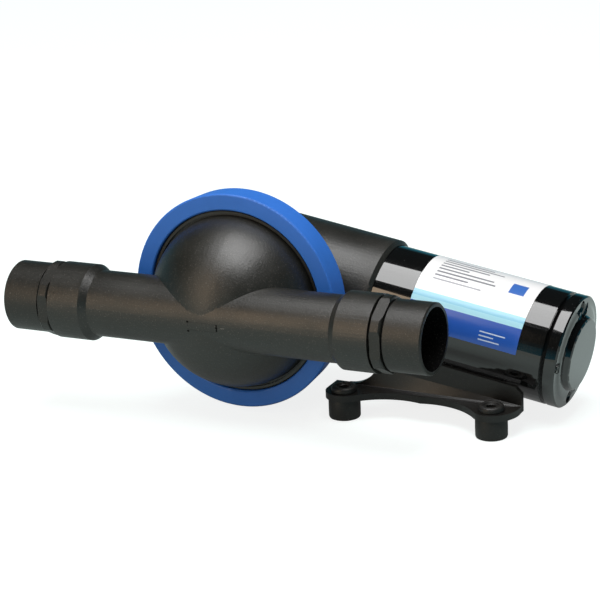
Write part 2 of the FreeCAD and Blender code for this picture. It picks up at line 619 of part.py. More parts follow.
def hose_port(name, side):
    """Hose spigot with its six-sided flange and the plug that goes into the collar."""
    prefix = name.title().replace("_", "")
    barrel = turned(prefix + "Barrel", [
        ("plug_start", "plug_bore"), ("nut_start", "plug_bore"),
        ("spigot_start - 2", "spigot_radius - spigot_wall"),
        ("port_reach", "spigot_radius - spigot_wall"), ("port_reach", "spigot_radius - 0.6"),
        ("port_reach - 0.6", "spigot_radius"),
        ("spigot_start", "spigot_radius"), ("spigot_start", "groove_radius"),
        ("collar_end + 0.1", "groove_radius"), ("collar_end + 0.1", "plug_radius"),
        ("seal_centre + seal_width * 0.6", "plug_radius"),
        ("seal_centre + seal_width * 0.6", "collar_bore - seal_width"),
        ("seal_centre - seal_width * 0.6", "collar_bore - seal_width"),
        ("seal_centre - seal_width * 0.6", "plug_radius"), ("plug_start", "plug_radius")])
    disc = turned(prefix + "Disc", [
        ("nut_start", "plug_bore + 2"), ("spigot_start - 1", "plug_bore + 3"),
        ("spigot_start - 1", "collar_radius - 0.8"), ("spigot_start - 2", "collar_radius"),
        ("nut_start + 0.6", "collar_radius"), ("nut_start", "collar_radius - 0.6")])
    prism = doc.addObject("Part::Prism", prefix + "Prism")
    prism.Polygon = 6
    prism.Placement = Placement(Vector(), TURNS["X"])
    bind(prism, Circumradius="nut_flat / cos(30 * 1 deg)", Height="spigot_start - nut_start",
         Placement__Base__x="nut_start")
    nut = doc.addObject("Part::Common", prefix + "Nut")
    nut.Base = disc
    nut.Tool = prism
    port_piece(name, fused(prefix, barrel, nut), side)


def o_ring(name):
    ring_body = doc.addObject("Part::Torus", name)
    ring_body.Placement = Placement(Vector(), TURNS["X"])
    bind(ring_body, Radius1="collar_bore - seal_width / 2 - 0.02", Radius2="seal_width / 2 - 0.03",
         Placement__Base__x="seal_centre")
    return ring_body


def port_seals():
    outlet = o_ring("OutletSeal")
    inlet = mirrored("InletSeal", o_ring("InletSealSource"), Vector(1, 0, 0))
    port_piece("port_seals", group("PortSeals", outlet, inlet), 1)


def duckbill():
    """Rubber check valve along +X: a flange, then a bill that flattens to closed lips."""
    root = size("valve_root")
    wall = size("valve_wall")
    lip = size("valve_lip")
    length = size("valve_length")
    flange = size("valve_flange")

    def loft(start, radius, end, half_width, half_height):
        """Solid between a circle and an oval, both round X, with their seams in line."""
        wires = []
        for place, curve in ((start, Part.Ellipse(Vector(), radius + 0.001, radius)),
                             (end, Part.Ellipse(Vector(), half_width, half_height))):
            wire = Part.Wire(curve.toShape())
            wire.Placement = Placement(Vector(place, 0, 0), Rotation(Vector(1, 1, 1), 120))
            wires.append(wire)
        return Part.makeLoft(wires, True, False)

    outer = loft(flange / 2, root, flange + length, root, lip)
    inner = loft(-0.2, root - wall, flange + length + 0.1, root - wall, lip * 0.4)
    rim = Part.makeCylinder(size("plug_radius"), flange, Vector(), Vector(1, 0, 0))
    return rim.fuse(outer).cut(inner)


def valves():
    outlet = duckbill()
    outlet.translate(Vector(size("valve_seat") + 0.2, 0, 0))
    port_piece("outlet_valve", worked("OutletValve", outlet), 1)
    inlet = duckbill()
    inlet.translate(Vector(-size("plug_start") + 0.2, 0, 0))
    port_piece("inlet_valve", worked("InletValve", inlet), 1)


# ---- crank, rod and diaphragm plates -------------------------------------------------------------

def crankshaft():
    """Carrier plate, journal, web with its counterweight, and the crank pin, in one forging."""
    shaft = turned("CrankShaftCore", [
        ("web_start", "0"), ("carrier_start + carrier_thickness", "0"),
        ("carrier_start + carrier_thickness", "carrier_radius"),
        ("carrier_start", "carrier_radius"), ("carrier_start", "journal_radius + 3"),
        ("bulkhead_end + 0.4", "journal_radius + 3"), ("bulkhead_end + 0.4", "journal_radius"),
        ("web_end", "journal_radius"), ("web_end", "web_radius"), ("web_start", "web_radius")])
    pin = rod("CrankPin", "pin_radius", "pin_length + 1", x="web_start - pin_length",
              y="crank_throw")
    weight = rod("Counterweight", "weight_radius", "web_end - web_start", x="web_start",
                 sweep="weight_sweep")
    half = size("weight_sweep") / 2
    weight.Placement = Placement(Vector(), TURNS["X"].multiply(Rotation(Vector(0, 0, 1), -90 - half)))
    bind(weight, Placement__Base__x="web_start")
    screw_hole = rod("CrankScrewHole", "crank_screw_radius", "pin_length - 1",
                     x="web_start - pin_length", y="crank_throw")
    pin_holes = [rod("PlanetPinHole%d" % i, "planet_pin_radius", "carrier_thickness + 2",
                     x="carrier_start - 1", y=y, z=z)
                 for i, (y, z) in enumerate(planet_places())]
    solid = fused("CrankSolid", shaft, pin, weight)
    pump_piece("crankshaft", cut("Crankshaft", solid, screw_hole, *pin_holes))


def planet_places():
    """Centres of the planet gears across the motor axis, as expressions."""
    spread = "gear_module * %d / 2" % (SUN_TEETH + PLANET_TEETH)
    places = []
    for i in range(PLANETS):
        turn = 90 + 360 / PLANETS * i
        places.append(("%s * cos(%g * 1 deg)" % (spread, turn),
                       "%s * sin(%g * 1 deg)" % (spread, turn)))
    return places


def crank_fixings():
    washer = ring("CrankWasher", "web_start - pin_length - washer_thickness",
                  "web_start - pin_length", "crank_washer_radius", "crank_screw_radius + 0.1")
    bind(washer, Placement__Base__y="crank_throw")
    pump_piece("crank_washer", group("CrankWasherPlaced", washer))
    face = "web_start - pin_length - washer_thickness"
    screw = turned("CrankScrew", [
        (face + " - head_height", "0"), ("web_start - 3", "0"),
        ("web_start - 3", "crank_screw_radius"), (face, "crank_screw_radius"),
        (face, "crank_screw_radius * 2"), (face + " - head_height + 0.8", "crank_screw_radius * 2"),
        (face + " - head_height", "crank_screw_radius * 2 - 0.8")])
    bind(screw, Placement__Base__y="crank_throw")
    pump_piece("crank_screw", group("CrankScrewPlaced", screw))
    bearing = ring("CrankBearing", "bulkhead_end - bearing_width", "bulkhead_end",
                   "bearing_radius", "journal_radius + running_gap")
    pump_piece("crank_bearing", bearing)


def connecting_rod():
    """Rod between the crank pin and the plates, with an I-section shank."""
    half = "rod_width / 2"
    eye = ring("RodEye", "-rod_width / 2", half, "rod_eye_radius")
    bind(eye, Placement__Base__y="crank_throw")
    hollow = ring("RodEyeHollow", "-rod_width", "rod_width", "rod_bearing_radius")
    bind(hollow, Placement__Base__y="crank_throw")
    boss_back = "plate_plane - rod_boss_height"
    shank = block("RodShank", ("-rod_width / 2 + 1", "rod_width / 2 - 1"),
                  ("-(%s + 1)" % boss_back, "crank_throw"), ("-rod_shank / 2", "rod_shank / 2"))
    pockets = [block("RodPocket%d" % i, (low, high), (
        "-(%s - 2)" % boss_back, "crank_throw - rod_eye_radius - 1"), (
        "-rod_shank / 2 + 2.5", "rod_shank / 2 - 2.5")) for i, (low, high) in enumerate((
            ("rod_width / 2 - 3", "rod_width / 2"), ("-rod_width / 2", "-rod_width / 2 + 3")))]
    boss = rod("RodBoss", "rod_boss_radius", "rod_boss_height", "-Y", y="-(%s)" % boss_back)
    thread = rod("RodThread", "plate_screw_radius", "rod_boss_height + 4", "-Y",
                 y="-(%s - 2)" % boss_back)
    solid = fused("RodSolid", eye, shank, boss)
    pump_piece("connecting_rod", cut("ConnectingRod", solid, hollow, thread, *pockets))
    bearing = ring("RodBearing", "-rod_width / 2", half, "rod_bearing_radius",
                   "pin_radius + running_gap")
    bind(bearing, Placement__Base__y="crank_throw")
    pump_piece("rod_bearing", group("RodBearingPlaced", bearing))


def diaphragm_plates():
    """Two dished plates and the screw that pulls them together through the rubber."""
    hole = "plate_screw_radius + 0.1"
    back_face = "plate_plane + back_plate"
    front_face = "plate_plane + back_plate + web_thickness"
    back = turned("BackPlate", [
        (hole, "-plate_plane"), ("plate_radius - 2", "-plate_plane"),
        ("plate_radius", "-(plate_plane + 1.2)"), ("plate_radius", "-(%s)" % back_face),
        (hole, "-(%s)" % back_face)], about="Y")
    pump_piece("diaphragm_back_plate", back)
    front = turned("FrontPlate", [
        (hole, "-(%s)" % front_face), ("plate_radius", "-(%s)" % front_face),
        ("plate_radius", "-(%s + 1)" % front_face),
        ("plate_radius - 3", "-(%s + front_plate)" % front_face),
        (hole, "-(%s + front_plate)" % front_face)], about="Y")
    pump_piece("diaphragm_front_plate", front)
    seat = "%s + front_plate" % front_face
    shank = rod("PlateScrewShank", "plate_screw_radius", "plate_screw_length + 1", "-Y",
                y="-(%s - plate_screw_length)" % seat)
    head = doc.addObject("Part::Prism", "PlateScrewHead")
    head.Polygon = 6
    head.Placement = Placement(Vector(), TURNS["-Y"])
    bind(head, Circumradius="plate_screw_head", Height="head_height",
         Placement__Base__y="-(%s)" % seat)
    pump_piece("diaphragm_screw", fused("PlateScrew", shank, head))


# ---- gears ---------------------------------------------------------------------------------------

def gear_wire(teeth, tip, root, thickness, turn):
    """Outline of a gear in the YZ plane, with involute flanks. thickness is the width of a tooth
    on the pitch circle, and turn the direction of a tooth from Y towards Z."""
    pitch = size("gear_module") * teeth / 2
    base = pitch * math.cos(PRESSURE_ANGLE)
    involute_at_pitch = math.tan(PRESSURE_ANGLE) - PRESSURE_ANGLE

    def half_angle(radius):
        angle = math.acos(min(1.0, base / radius))
        return thickness / (2 * pitch) + involute_at_pitch - (math.tan(angle) - angle)

    flank = [root] + [max(root, base) + (tip - max(root, base)) * step / 3 for step in range(4)]
    flank = flank[1:] if root >= base else flank
    points = []
    for tooth in range(teeth):
        centre = turn + 2 * math.pi * tooth / teeth
        for side, radii in ((-1, flank), (1, flank[::-1])):
            for radius in radii:
                angle = centre + side * half_angle(radius)
                points.append(Vector(0, radius * math.cos(angle), radius * math.sin(angle)))
    return Part.Wire(Part.makePolygon(points + points[:1]).Edges)


def gear(teeth, low, length, turn):
    module = size("gear_module")
    pitch = module * teeth / 2
    width = math.pi * module / 2 - size("gear_backlash") / 2
    wire = gear_wire(teeth, pitch + 0.9 * module, pitch - 1.2 * module, width, turn)
    wire.translate(Vector(low, 0, 0))
    return Part.Face(wire).extrude(Vector(length, 0, 0))


def gears():
    """Sun on the motor shaft, three planets on the carrier and a fixed ring: five to one. A sun
    tooth points at each planet, which meets it and the ring with a gap between two teeth."""
    module = size("gear_module")
    low = size("gear_start")
    sun = gear(SUN_TEETH, low - 0.5, size("sun_end") - low + 0.5, math.pi / 2)
    sun = sun.cut(Part.makeCylinder(size("shaft_nose_radius"), 30, Vector(low - 5, 0, 0),
                                    Vector(1, 0, 0)))
    pump_piece("sun_gear", worked("SunGear", sun))
    spread = module * (SUN_TEETH + PLANET_TEETH) / 2
    for i in range(PLANETS):
        way = math.pi / 2 + 2 * math.pi * i / PLANETS
        planet = gear(PLANET_TEETH, low, size("gear_width"), way + math.pi / PLANET_TEETH)
        hole = Part.makeCylinder(size("planet_pin_radius + running_gap"), 30, Vector(low - 5, 0, 0),
                                 Vector(1, 0, 0))
        planet = planet.cut(hole)
        planet.translate(Vector(0, spread * math.cos(way), spread * math.sin(way)))
        name = "planet_gear_%s" % "abc"[i]
        pump_piece(name, worked(name.title().replace("_", ""), planet))
    pitch = module * RING_TEETH / 2
    start, end = size("gear_seat"), size("ring_gear_end")
    space = math.pi * module / 2 + size("gear_backlash") / 2
    inside = gear_wire(RING_TEETH, pitch + 1.2 * module, pitch - 0.9 * module, space,
                       math.pi / 2 + math.pi / RING_TEETH)
    inside.translate(Vector(start, 0, 0))
    hoop = Part.makeCylinder(size("gear_bore"), end - start, Vector(start, 0, 0), Vector(1, 0, 0))
    hoop = hoop.cut(Part.Face(inside).extrude(Vector(end - start, 0, 0)))
    for side in (1, -1):
        hoop = hoop.cut(Part.makeCylinder(size("bolt_radius + 0.05"), end, Vector(
            0, 0, side * size("bolt_circle")), Vector(1, 0, 0)))
    pump_piece("ring_gear", worked("RingGear", hoop))
    pins = [rod("PlanetPin%d" % j, "planet_pin_radius", "retainer_start + retainer_thickness "
                "- carrier_start", x="carrier_start", y=y, z=z)
            for j, (y, z) in enumerate(planet_places())]
    pump_piece("planet_pins", group("PlanetPins", *pins))
    plate = ring("Retainer", "retainer_start", "retainer_start + retainer_thickness",
                 "carrier_radius", "retainer_bore")
    holes = [rod("RetainerHole%d" % j, "planet_pin_radius", "retainer_thickness + 2",
                 x="retainer_start - 1", y=y, z=z) for j, (y, z) in enumerate(planet_places())]
    pump_piece("carrier_plate", cut("CarrierPlate", plate, *holes))


# ---- motor ---------------------------------------------------------------------------------------

def bolt_holes(name, low, length):
    return [rod("%s%d" % (name, i), "bolt_radius + 0.1", length, x=low, z=sign + "bolt_circle")
            for i, sign in enumerate(("", "-"))]


def motor_shell():
    """Rolled tube, front plate with the seal and a bearing, and the cast end cap."""
    tube = ring("MotorTube", "tube_start", "tube_end", "motor_radius", "motor_radius - motor_wall")
    pump_piece("motor_tube", cut("MotorTubeDrilled", tube, *cradle_holes("TubeHole")))
    spigot = "motor_radius - motor_wall - 0.05"
    plate = turned("FrontMotorPlate", [
        ("plate_boss_start", "seal_radius"), ("seal_start + seal_length", "seal_radius"),
        ("seal_start + seal_length", "shaft_radius + 1"),
        ("front_bearing_start", "shaft_radius + 1"),
        ("front_bearing_start", "motor_bearing_radius"),
        ("plate_spigot_end", "motor_bearing_radius"), ("plate_spigot_end", spigot),
        ("tube_start", spigot), ("tube_start", "motor_radius"), ("mouth_start", "motor_radius"),
        ("mouth_start", "plate_boss_radius"), ("plate_boss_start", "plate_boss_radius")])
    pump_piece("motor_front_plate", cut("MotorFrontPlate", plate, *bolt_holes(
        "FrontPlateHole", "mouth_start - 1", "plate_spigot_end - mouth_start + 2")))
    cap = turned("EndCap", [
        ("cap_start - cap_spigot", "motor_radius - motor_wall - cap_skirt"),
        ("cap_start - cap_spigot", spigot), ("cap_start", spigot),
        ("cap_start", "motor_radius - 0.4"), ("cap_start + 0.4", "motor_radius"),
        ("motor_end - 0.8", "motor_radius"), ("motor_end", "motor_radius - 0.8"),
        ("motor_end", "boss_radius"), ("motor_end + shelf_height", "shelf_radius"),
        ("motor_end + shelf_height", "flank_radius"),
        ("motor_end + crown_height - 0.6", "crown_radius + 0.9"),
        ("motor_end + crown_height", "crown_radius"),
        ("motor_end + crown_height", "0"), ("shaft_end + 0.7", "0"),
        ("shaft_end + 0.7", "motor_bearing_radius - 2"),
        ("rear_bearing_start + motor_bearing_width", "motor_bearing_radius - 2"),
        ("rear_bearing_start + motor_bearing_width", "motor_bearing_radius"),
        ("rear_bearing_start", "motor_bearing_radius"),
        ("rear_bearing_start", "motor_bearing_radius + 3"),
        ("motor_end - 2.5", "motor_bearing_radius + 3"),
        ("motor_end - 2.5", "motor_radius - motor_wall - cap_skirt")])
    notches = [rod("BoltNotch%d" % i, "bolt_notch", "crown_height + 1", x="motor_end",
                   z=sign + "notch_place") for i, sign in enumerate(("", "-"))]
    seats = [rod("BoltSeat%d" % i, "bolt_head_radius + 0.3", "bolt_seat + 1",
                 x="motor_end - bolt_seat", z=sign + "bolt_circle")
             for i, sign in enumerate(("", "-"))]
    gland_hole = rod("GlandHole", "gland_radius", "motor_radius", "-Y", x="gland_place",
                     y="motor_radius + 1")
    gland_hole.setExpression("Height", bound("motor_radius - motor_bearing_radius - 4"))
    pump_piece("motor_end_cap", cut("MotorEndCap", cap, gland_hole, *notches, *seats, *bolt_holes(
        "EndCapHole", "cap_start - cap_spigot - 1", "motor_end - cap_start + cap_spigot + 2")))
    gland = turned("Gland", [
        ("1.2", "motor_radius - 6"), ("gland_radius", "motor_radius - 6"),
        ("gland_radius", "motor_radius + 0.05"), ("gland_radius + 0.7", "motor_radius + 0.05"),
        ("gland_radius + 0.2", "motor_radius + 1.6"), ("1.2", "motor_radius + 1.6")], about="Y")
    bind(gland, Placement__Base__x="gland_place")
    pump_piece("lead_grommet", group("LeadGrommet", gland))


def through_bolts():
    bolts = []
    for i, sign in enumerate(("", "-")):
        shank = rod("BoltShank%d" % i, "bolt_radius", "motor_end - bolt_seat - bolt_tip + 0.5",
                    x="bolt_tip", z=sign + "bolt_circle")
        head = rod("BoltHead%d" % i, "bolt_head_radius", "bolt_head_height",
                   x="motor_end - bolt_seat", z=sign + "bolt_circle")
        top = "motor_end - bolt_seat + bolt_head_height"
        slot = block("BoltSlot%d" % i, (top + " - 1", top + " + 1"), ("-bolt_head_radius - 1",
                     "bolt_head_radius + 1"), (sign + "bolt_circle - 0.5",
                     sign + "bolt_circle + 0.5"))
        bolts.append(cut("Bolt%d" % i, fused("BoltBlank%d" % i, shank, head), slot))
    pump_piece("through_bolts", group("ThroughBolts", *bolts))


def motor_bearings():
    for name, low in (("front_motor_bearing", "front_bearing_start"),
                      ("rear_motor_bearing", "rear_bearing_start")):
        bearing = ring(name.title().replace("_", ""), low, low + " + motor_bearing_width",
                       "motor_bearing_radius", "shaft_radius + running_gap")
        pump_piece(name, bearing)
    seal = turned("ShaftSeal", [
        ("seal_start", "shaft_nose_radius + 0.06"),
        ("seal_start + 0.6", "shaft_nose_radius + 0.06"),
        ("seal_start + 1.4", "shaft_nose_radius + 1.4"),
        ("seal_start + seal_length", "shaft_nose_radius + 1.4"),
        ("seal_start + seal_length", "seal_radius"), ("seal_start", "seal_radius")])
    pump_piece("shaft_seal", seal)


def rotor():
    """Shaft, slotted core, windings and commutator, which turn as one."""
    shaft = turned("MotorShaft", [
        ("gear_start - 0.5", "0"), ("shaft_end", "0"), ("shaft_end", "shaft_radius"),
        ("front_bearing_start - 0.4", "shaft_radius"),
        ("front_bearing_start - 0.4", "shaft_nose_radius"),
        ("gear_start - 0.5", "shaft_nose_radius")])
    pump_piece("motor_shaft", shaft)
    length = size("core_end - core_start")
    radius = size("core_radius")
    mouth = size("slot_opening") / 2
    wide = size("slot_width") / 2
    floor = radius - size("slot_depth")
    neck = radius - 1.6
    slot_wire = Part.makePolygon([
        Vector(0, radius + 1, -mouth), Vector(0, neck, -mouth), Vector(0, neck - 1, -wide),
        Vector(0, floor, -wide * 0.6), Vector(0, floor, wide * 0.6), Vector(0, neck - 1, wide),
        Vector(0, neck, mouth), Vector(0, radius + 1, mouth), Vector(0, radius + 1, -mouth)])
    slot = Part.Face(Part.Wire(slot_wire.Edges)).extrude(Vector(length, 0, 0))
    start = Vector(size("core_start"), 0, 0)
    along = Vector(1, 0, 0)
    core = Part.makeCylinder(radius, length, Vector(), along)
    core = core.cut(Part.makeCylinder(size("shaft_radius"), length, Vector(), along))
    bars = []
    count = int(size("slot_count"))
    for i in range(count):
        cutter = slot.copy()
        cutter.rotate(Vector(), along, 360.0 / count * i)
        core = core.cut(cutter)
        bars.append(cutter.common(Part.makeCylinder(neck - 0.2, length, Vector(), along)))
    core.translate(start)
    pump_piece("armature_core", worked("ArmatureCore", core))
    overhang = size("winding_overhang")
    outside = size("winding_radius")
    bore = size("shaft_radius") + 1.5
    profile = [(0, bore), (0, outside), (overhang * 0.6, outside), (overhang, outside - 4),
               (overhang, bore + 2), (overhang * 0.7, bore)]
    wire = Part.makePolygon([Vector(x, r, 0) for x, r in profile + profile[:1]])
    coil = Part.Face(Part.Wire(wire.Edges)).revolve(Vector(), along, 360)
    back = coil.copy()
    back.translate(Vector(length, 0, 0))
    front = coil.mirror(Vector(), along)
    winding = front.fuse([back] + bars)
    winding.translate(start)
    pump_piece("armature_winding", worked("ArmatureWinding", winding))
    commutator = turned("Commutator", [
        ("commutator_start", "shaft_radius"),
        ("commutator_start + commutator_length", "shaft_radius"),
        ("commutator_start + commutator_length", "commutator_radius"),
        ("commutator_start + 1.5", "commutator_radius"),
        ("commutator_start + 1.5", "commutator_radius + 1.5"),
        ("commutator_start", "commutator_radius + 1.5")])
    pump_piece("commutator", commutator)


def stator():
    """Two arc magnets glued in the tube, and the holder with its two brushes."""
    magnets = []
    for i in range(2):
        start = 90 - size("magnet_sweep") / 2 + 180 * i
        outer = rod("MagnetOuter%d" % i, "motor_radius - motor_wall", "magnet_end - magnet_start",
                    x="magnet_start", sweep="magnet_sweep")
        outer.Placement = Placement(Vector(), TURNS["X"].multiply(Rotation(Vector(0, 0, 1), start)))
        bind(outer, Placement__Base__x="magnet_start")
        inner = rod("MagnetInner%d" % i, "magnet_radius", "magnet_end - magnet_start + 2",
                    x="magnet_start - 1")
        magnets.append(cut("Magnet%d" % i, outer, inner))
    pump_piece("field_magnets", group("FieldMagnets", *magnets))
    plate = ring("BrushPlate", "brush_plate_start", "brush_plate_start + brush_plate_thickness",
                 "motor_radius - motor_wall - 0.05", "brush_plate_bore")
    middle = "brush_plate_start + brush_plate_thickness / 2"
    window = block("BrushWindow", (middle + " - brush_width / 2", middle + " + brush_width / 2"),
                   ("-brush_end - 1", "brush_end + 1"), ("-brush_height / 2", "brush_height / 2"))
    pump_piece("brush_holder", cut("BrushHolder", plate, window, *bolt_holes(
        "BrushPlateHole", "brush_plate_start - 1", "brush_plate_thickness + 2")))
    brush = block("Brush", (middle + " - brush_width / 2", middle + " + brush_width / 2"),
                  ("commutator_radius - 1", "brush_end"), ("-brush_height / 2", "brush_height / 2"))
    contact = rod("BrushContact", "commutator_radius + running_gap", "commutator_length + 4",
                  x="commutator_start - 2")
    shaped = cut("BrushShaped", brush, contact)
    pump_piece("carbon_brushes", group("CarbonBrushes", shaped,
                                       mirrored("BrushFar", shaped, Vector(0, 1, 0))))


# ---- base ----------------------------------------------------------------------------------------

def wing():
    """Plate beside the motor with an ear at each foot and a hollow edge between them."""
    inner = "-(wall_outside - 1)"
    middle = "(foot_front + foot_back) / 2"
    joint = "ear_radius * 0.7071"
    side = "-(foot_side - ear_offset + %s)"
    plate = padded("Wing", "XY_Plane", [
        ("foot_front - ear_radius", side % "0", "-ear_radius"),
        ("foot_front", side % "ear_radius", "-ear_radius"),
        ("foot_front + %s" % joint, side % joint, "(foot_back - foot_front) * 0.42"),
        (middle, "-wing_waist", "(foot_back - foot_front) * 0.42"),
        ("foot_back - %s" % joint, side % joint, "-ear_radius"),
        ("foot_back", side % "ear_radius", "-ear_radius"),
        ("foot_back + %s" % joint, side % joint, "-wing_corner"),
        ("wing_end", "-(wall_outside + 1)"), ("wing_end", inner),
        ("foot_front - ear_radius", inner)], "plate_thickness")
    bind(plate, Placement__Base__z="foot_height + plate_thickness / 2")
    return plate


def cradle_holes(name):
    """Holes for the two screws between the trough and the motor tube."""
    return [rod("%s%d" % (name, i), "cradle_screw_radius", "20", "Z", x=place,
                z="-motor_radius - 15")
            for i, place in enumerate(CRADLE_SCREWS)]


def mounting_base():
    """Cradle under the motor: two walls on winged plates, with a trough between them."""
    top = "foot_height + plate_thickness"
    wall = block("CradleWall", ("foot_front - ear_radius", "wing_end"),
                 ("-wall_outside", "-(wall_outside - wall_thickness)"),
                 ("foot_height", "axis_height"))
    near = fused("NearSide", wing(), wall)
    far = mirrored("FarSide", near, Vector(0, 1, 0))
    hollow = doc.addObject("Part::Cylinder", "ShoulderHollow")
    hollow.Placement = Placement(Vector(), Rotation(Vector(1, 0, 0), 90))
    bind(hollow, Radius="shoulder_radius", Height="wall_outside * 2 + 4",
         Placement__Base__x="shoulder_x", Placement__Base__y="wall_outside + 2",
         Placement__Base__z="shoulder_z")
    front_clear = block("ShoulderClear", ("0", "shoulder_x"),
                        ("-wall_outside - 1", "wall_outside + 1"), (top, "axis_height + 1"))
    above = block("AboveWalls", ("-100", "300"), ("-wall_outside - 1", "wall_outside + 1"),
                  ("-cradle_drop", "100"))
    corner = block("WallCorner", ("0", "20"), ("0", "wall_outside * 2 + 2"), ("0", "20"))
    corner.Placement = Placement(Vector(), Rotation(Vector(0, 1, 0), 45))
    bind(corner, Placement__Base__x="wing_end - wall_corner",
         Placement__Base__y="-(wall_outside + 1)", Placement__Base__z="axis_height "
         "- wing_end * tan(tilt_angle * 1 deg) - cradle_drop / cos(tilt_angle * 1 deg)")
    motor_room = rod("MotorRoom", "motor_radius + 0.05", "300", x="-50")
    space = tilt(fused("MotorSpace", above, motor_room))
    sides = cut("CradleSides", fused("BothSides", near, far), hollow, front_clear, corner, space)
    trough = ring("Trough", "cradle_start", "cradle_end", "motor_radius + cradle_thickness",
                  "motor_radius")
    trough_above = block("TroughAbove", ("cradle_start - 1", "cradle_end + 1"),
                         ("-50", "50"), ("-cradle_drop - 0.5", "50"))
    spots = [rod("SpotFace%d" % i, "cradle_screw_head + 0.2", "10", "Z", x=place,
                 z="-(motor_radius + cradle_thickness) + 0.6 - 10")
             for i, place in enumerate(CRADLE_SCREWS)]
    seat = tilt(cut("TroughCut", trough, trough_above, *spots + cradle_holes("CradleHole")))
    holes = []
    for i, (x, y) in enumerate(foot_places()):
        holes.append(rod("FootHole%d" % i, "foot_neck", "plate_thickness + 2", "Z", x=x, y=y,
                         z="foot_height - 1"))
    base = cut("MountingBase", fused("BaseSolid", sides, seat), *holes)
    keep("mounting_base", base)


def foot_places():
    return [(x, y) for x in ("foot_front", "foot_back") for y in ("-foot_side", "foot_side")]


def foot_profile(name):
    """Rubber foot, drawn about Y and stood up: barrel, neck in the plate and cap."""
    top = "foot_height + plate_thickness"
    body = turned(name, [
        ("mount_hole", "0"), ("foot_radius - 1", "0"), ("foot_radius", "1"),
        ("foot_radius", "foot_height - 0.5"), ("foot_radius - 0.5", "foot_height"),
        ("foot_neck", "foot_height"), ("foot_neck", top), ("foot_cap_radius", top),
        ("foot_cap_radius", "%s + foot_cap_height - 1.5" % top),
        ("foot_cap_radius - 1.2", "%s + foot_cap_height" % top),
        ("mount_hole", "%s + foot_cap_height" % top)], about="Y")
    body.Placement = Placement(Vector(), Rotation(Vector(1, 0, 0), 90))
    return body


def mounting_feet():
    feet = []
    for i, (x, y) in enumerate(foot_places()):
        feet.append(bind(foot_profile("Foot%d" % i), Placement__Base__x=x, Placement__Base__y=y))
    keep("mounting_feet", group("MountingFeet", *feet))


def cradle_screws():
    """Pan-head screws up through the trough into the wall of the motor tube."""
    screws = []
    for i, place in enumerate(CRADLE_SCREWS):
        seat = "-(motor_radius + cradle_thickness) + 0.6"
        head = rod("CradleHead%d" % i, "cradle_screw_head", "cradle_screw_height", "Z",
                   x=place, z=seat + " - cradle_screw_height")
        shank = rod("CradleShank%d" % i, "cradle_screw_radius",
                    "cradle_thickness + motor_wall - 0.8", "Z", x=place, z=seat)
        screws.append(fused("CradleScrew%d" % i, head, shank))
    pump_piece("cradle_screws", group("CradleScrews", *screws))


pump_body()
clamp_ring()
diaphragm()
pump_head()
hose_port("outlet_port", 1)
hose_port("inlet_port", -1)
port_seals()
valves()
crankshaft()
crank_fixings()
connecting_rod()
diaphragm_plates()
gears()
motor_shell()
through_bolts()
motor_bearings()
rotor()
stator()
mounting_base()
mounting_feet()
cradle_screws()

doc.recompute()

for thing in doc.Objects:
    if "Invalid" in thing.State or "Error" in thing.State:
        raise RuntimeError("failed: %s %s" % (thing.Name, thing.State))
os.makedirs("parts", exist_ok=True)
for name, thing in pieces.items():
    shape = thing.Shape
    if shape.isNull() or not shape.isValid():
        raise RuntimeError("bad shape: " + name)
    print("%-22s solids %d volume %.1f" % (name, len(shape.Solids), shape.Volume))
    shape.exportStep("parts/%s.step" % name)
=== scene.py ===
import json
import math

import bmesh
import bpy
from mathutils import Matrix, Vector


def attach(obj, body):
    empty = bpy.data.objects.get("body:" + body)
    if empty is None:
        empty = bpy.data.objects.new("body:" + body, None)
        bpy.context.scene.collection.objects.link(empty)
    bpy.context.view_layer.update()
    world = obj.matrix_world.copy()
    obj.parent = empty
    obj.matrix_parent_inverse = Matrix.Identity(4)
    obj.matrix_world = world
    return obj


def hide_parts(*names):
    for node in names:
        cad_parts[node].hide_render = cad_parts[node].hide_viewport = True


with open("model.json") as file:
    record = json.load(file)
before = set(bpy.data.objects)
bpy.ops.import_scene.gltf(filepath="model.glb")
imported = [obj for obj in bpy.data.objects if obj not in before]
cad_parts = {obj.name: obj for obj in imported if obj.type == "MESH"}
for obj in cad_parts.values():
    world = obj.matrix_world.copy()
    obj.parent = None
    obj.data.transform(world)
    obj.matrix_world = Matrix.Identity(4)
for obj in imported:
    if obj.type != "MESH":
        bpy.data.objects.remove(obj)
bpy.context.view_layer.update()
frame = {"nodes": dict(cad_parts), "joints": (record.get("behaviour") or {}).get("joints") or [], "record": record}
nodes = frame["nodes"]
bodies = frame["record"]["behaviour"]["bodies"]

# ---- Pump body -----------------------------------------------------------------------------
# One moulding in black glass-filled nylon: the casing of the crank and gears, and the dish that
# the diaphragm is clamped to. The mould is spark-eroded, so the skin is finely grained.


def new_material(name):
    """A material with its tree, its shader and the socket of its Object coordinates."""
    material = bpy.data.materials.new(name)
    material.use_nodes = True
    tree = material.node_tree
    place = tree.nodes.new("ShaderNodeTexCoord")
    return material, tree, tree.nodes["Principled BSDF"], place.outputs["Object"]


def new_group(name, ins, outs):
    """An empty shader group. ins and outs are (label, type, value) triples."""
    group = bpy.data.node_groups.new(name, "ShaderNodeTree")
    for sockets, way in ((ins, "INPUT"), (outs, "OUTPUT")):
        for label, kind, value in sockets:
            socket = group.interface.new_socket(label, in_out=way, socket_type="NodeSocket" + kind)
            if value is not None:
                socket.default_value = value
    given = group.nodes.new("NodeGroupInput").outputs
    result = group.nodes.new("NodeGroupOutput").inputs
    return group, given, result


def noise(tree, place, scale, detail=2.0):
    texture = tree.nodes.new("ShaderNodeTexNoise")
    tree.links.new(place, texture.inputs["Vector"])
    texture.inputs["Detail"].default_value = detail
    if isinstance(scale, (int, float)):
        texture.inputs["Scale"].default_value = scale
    else:
        tree.links.new(scale, texture.inputs["Scale"])
    return texture.outputs["Fac"]


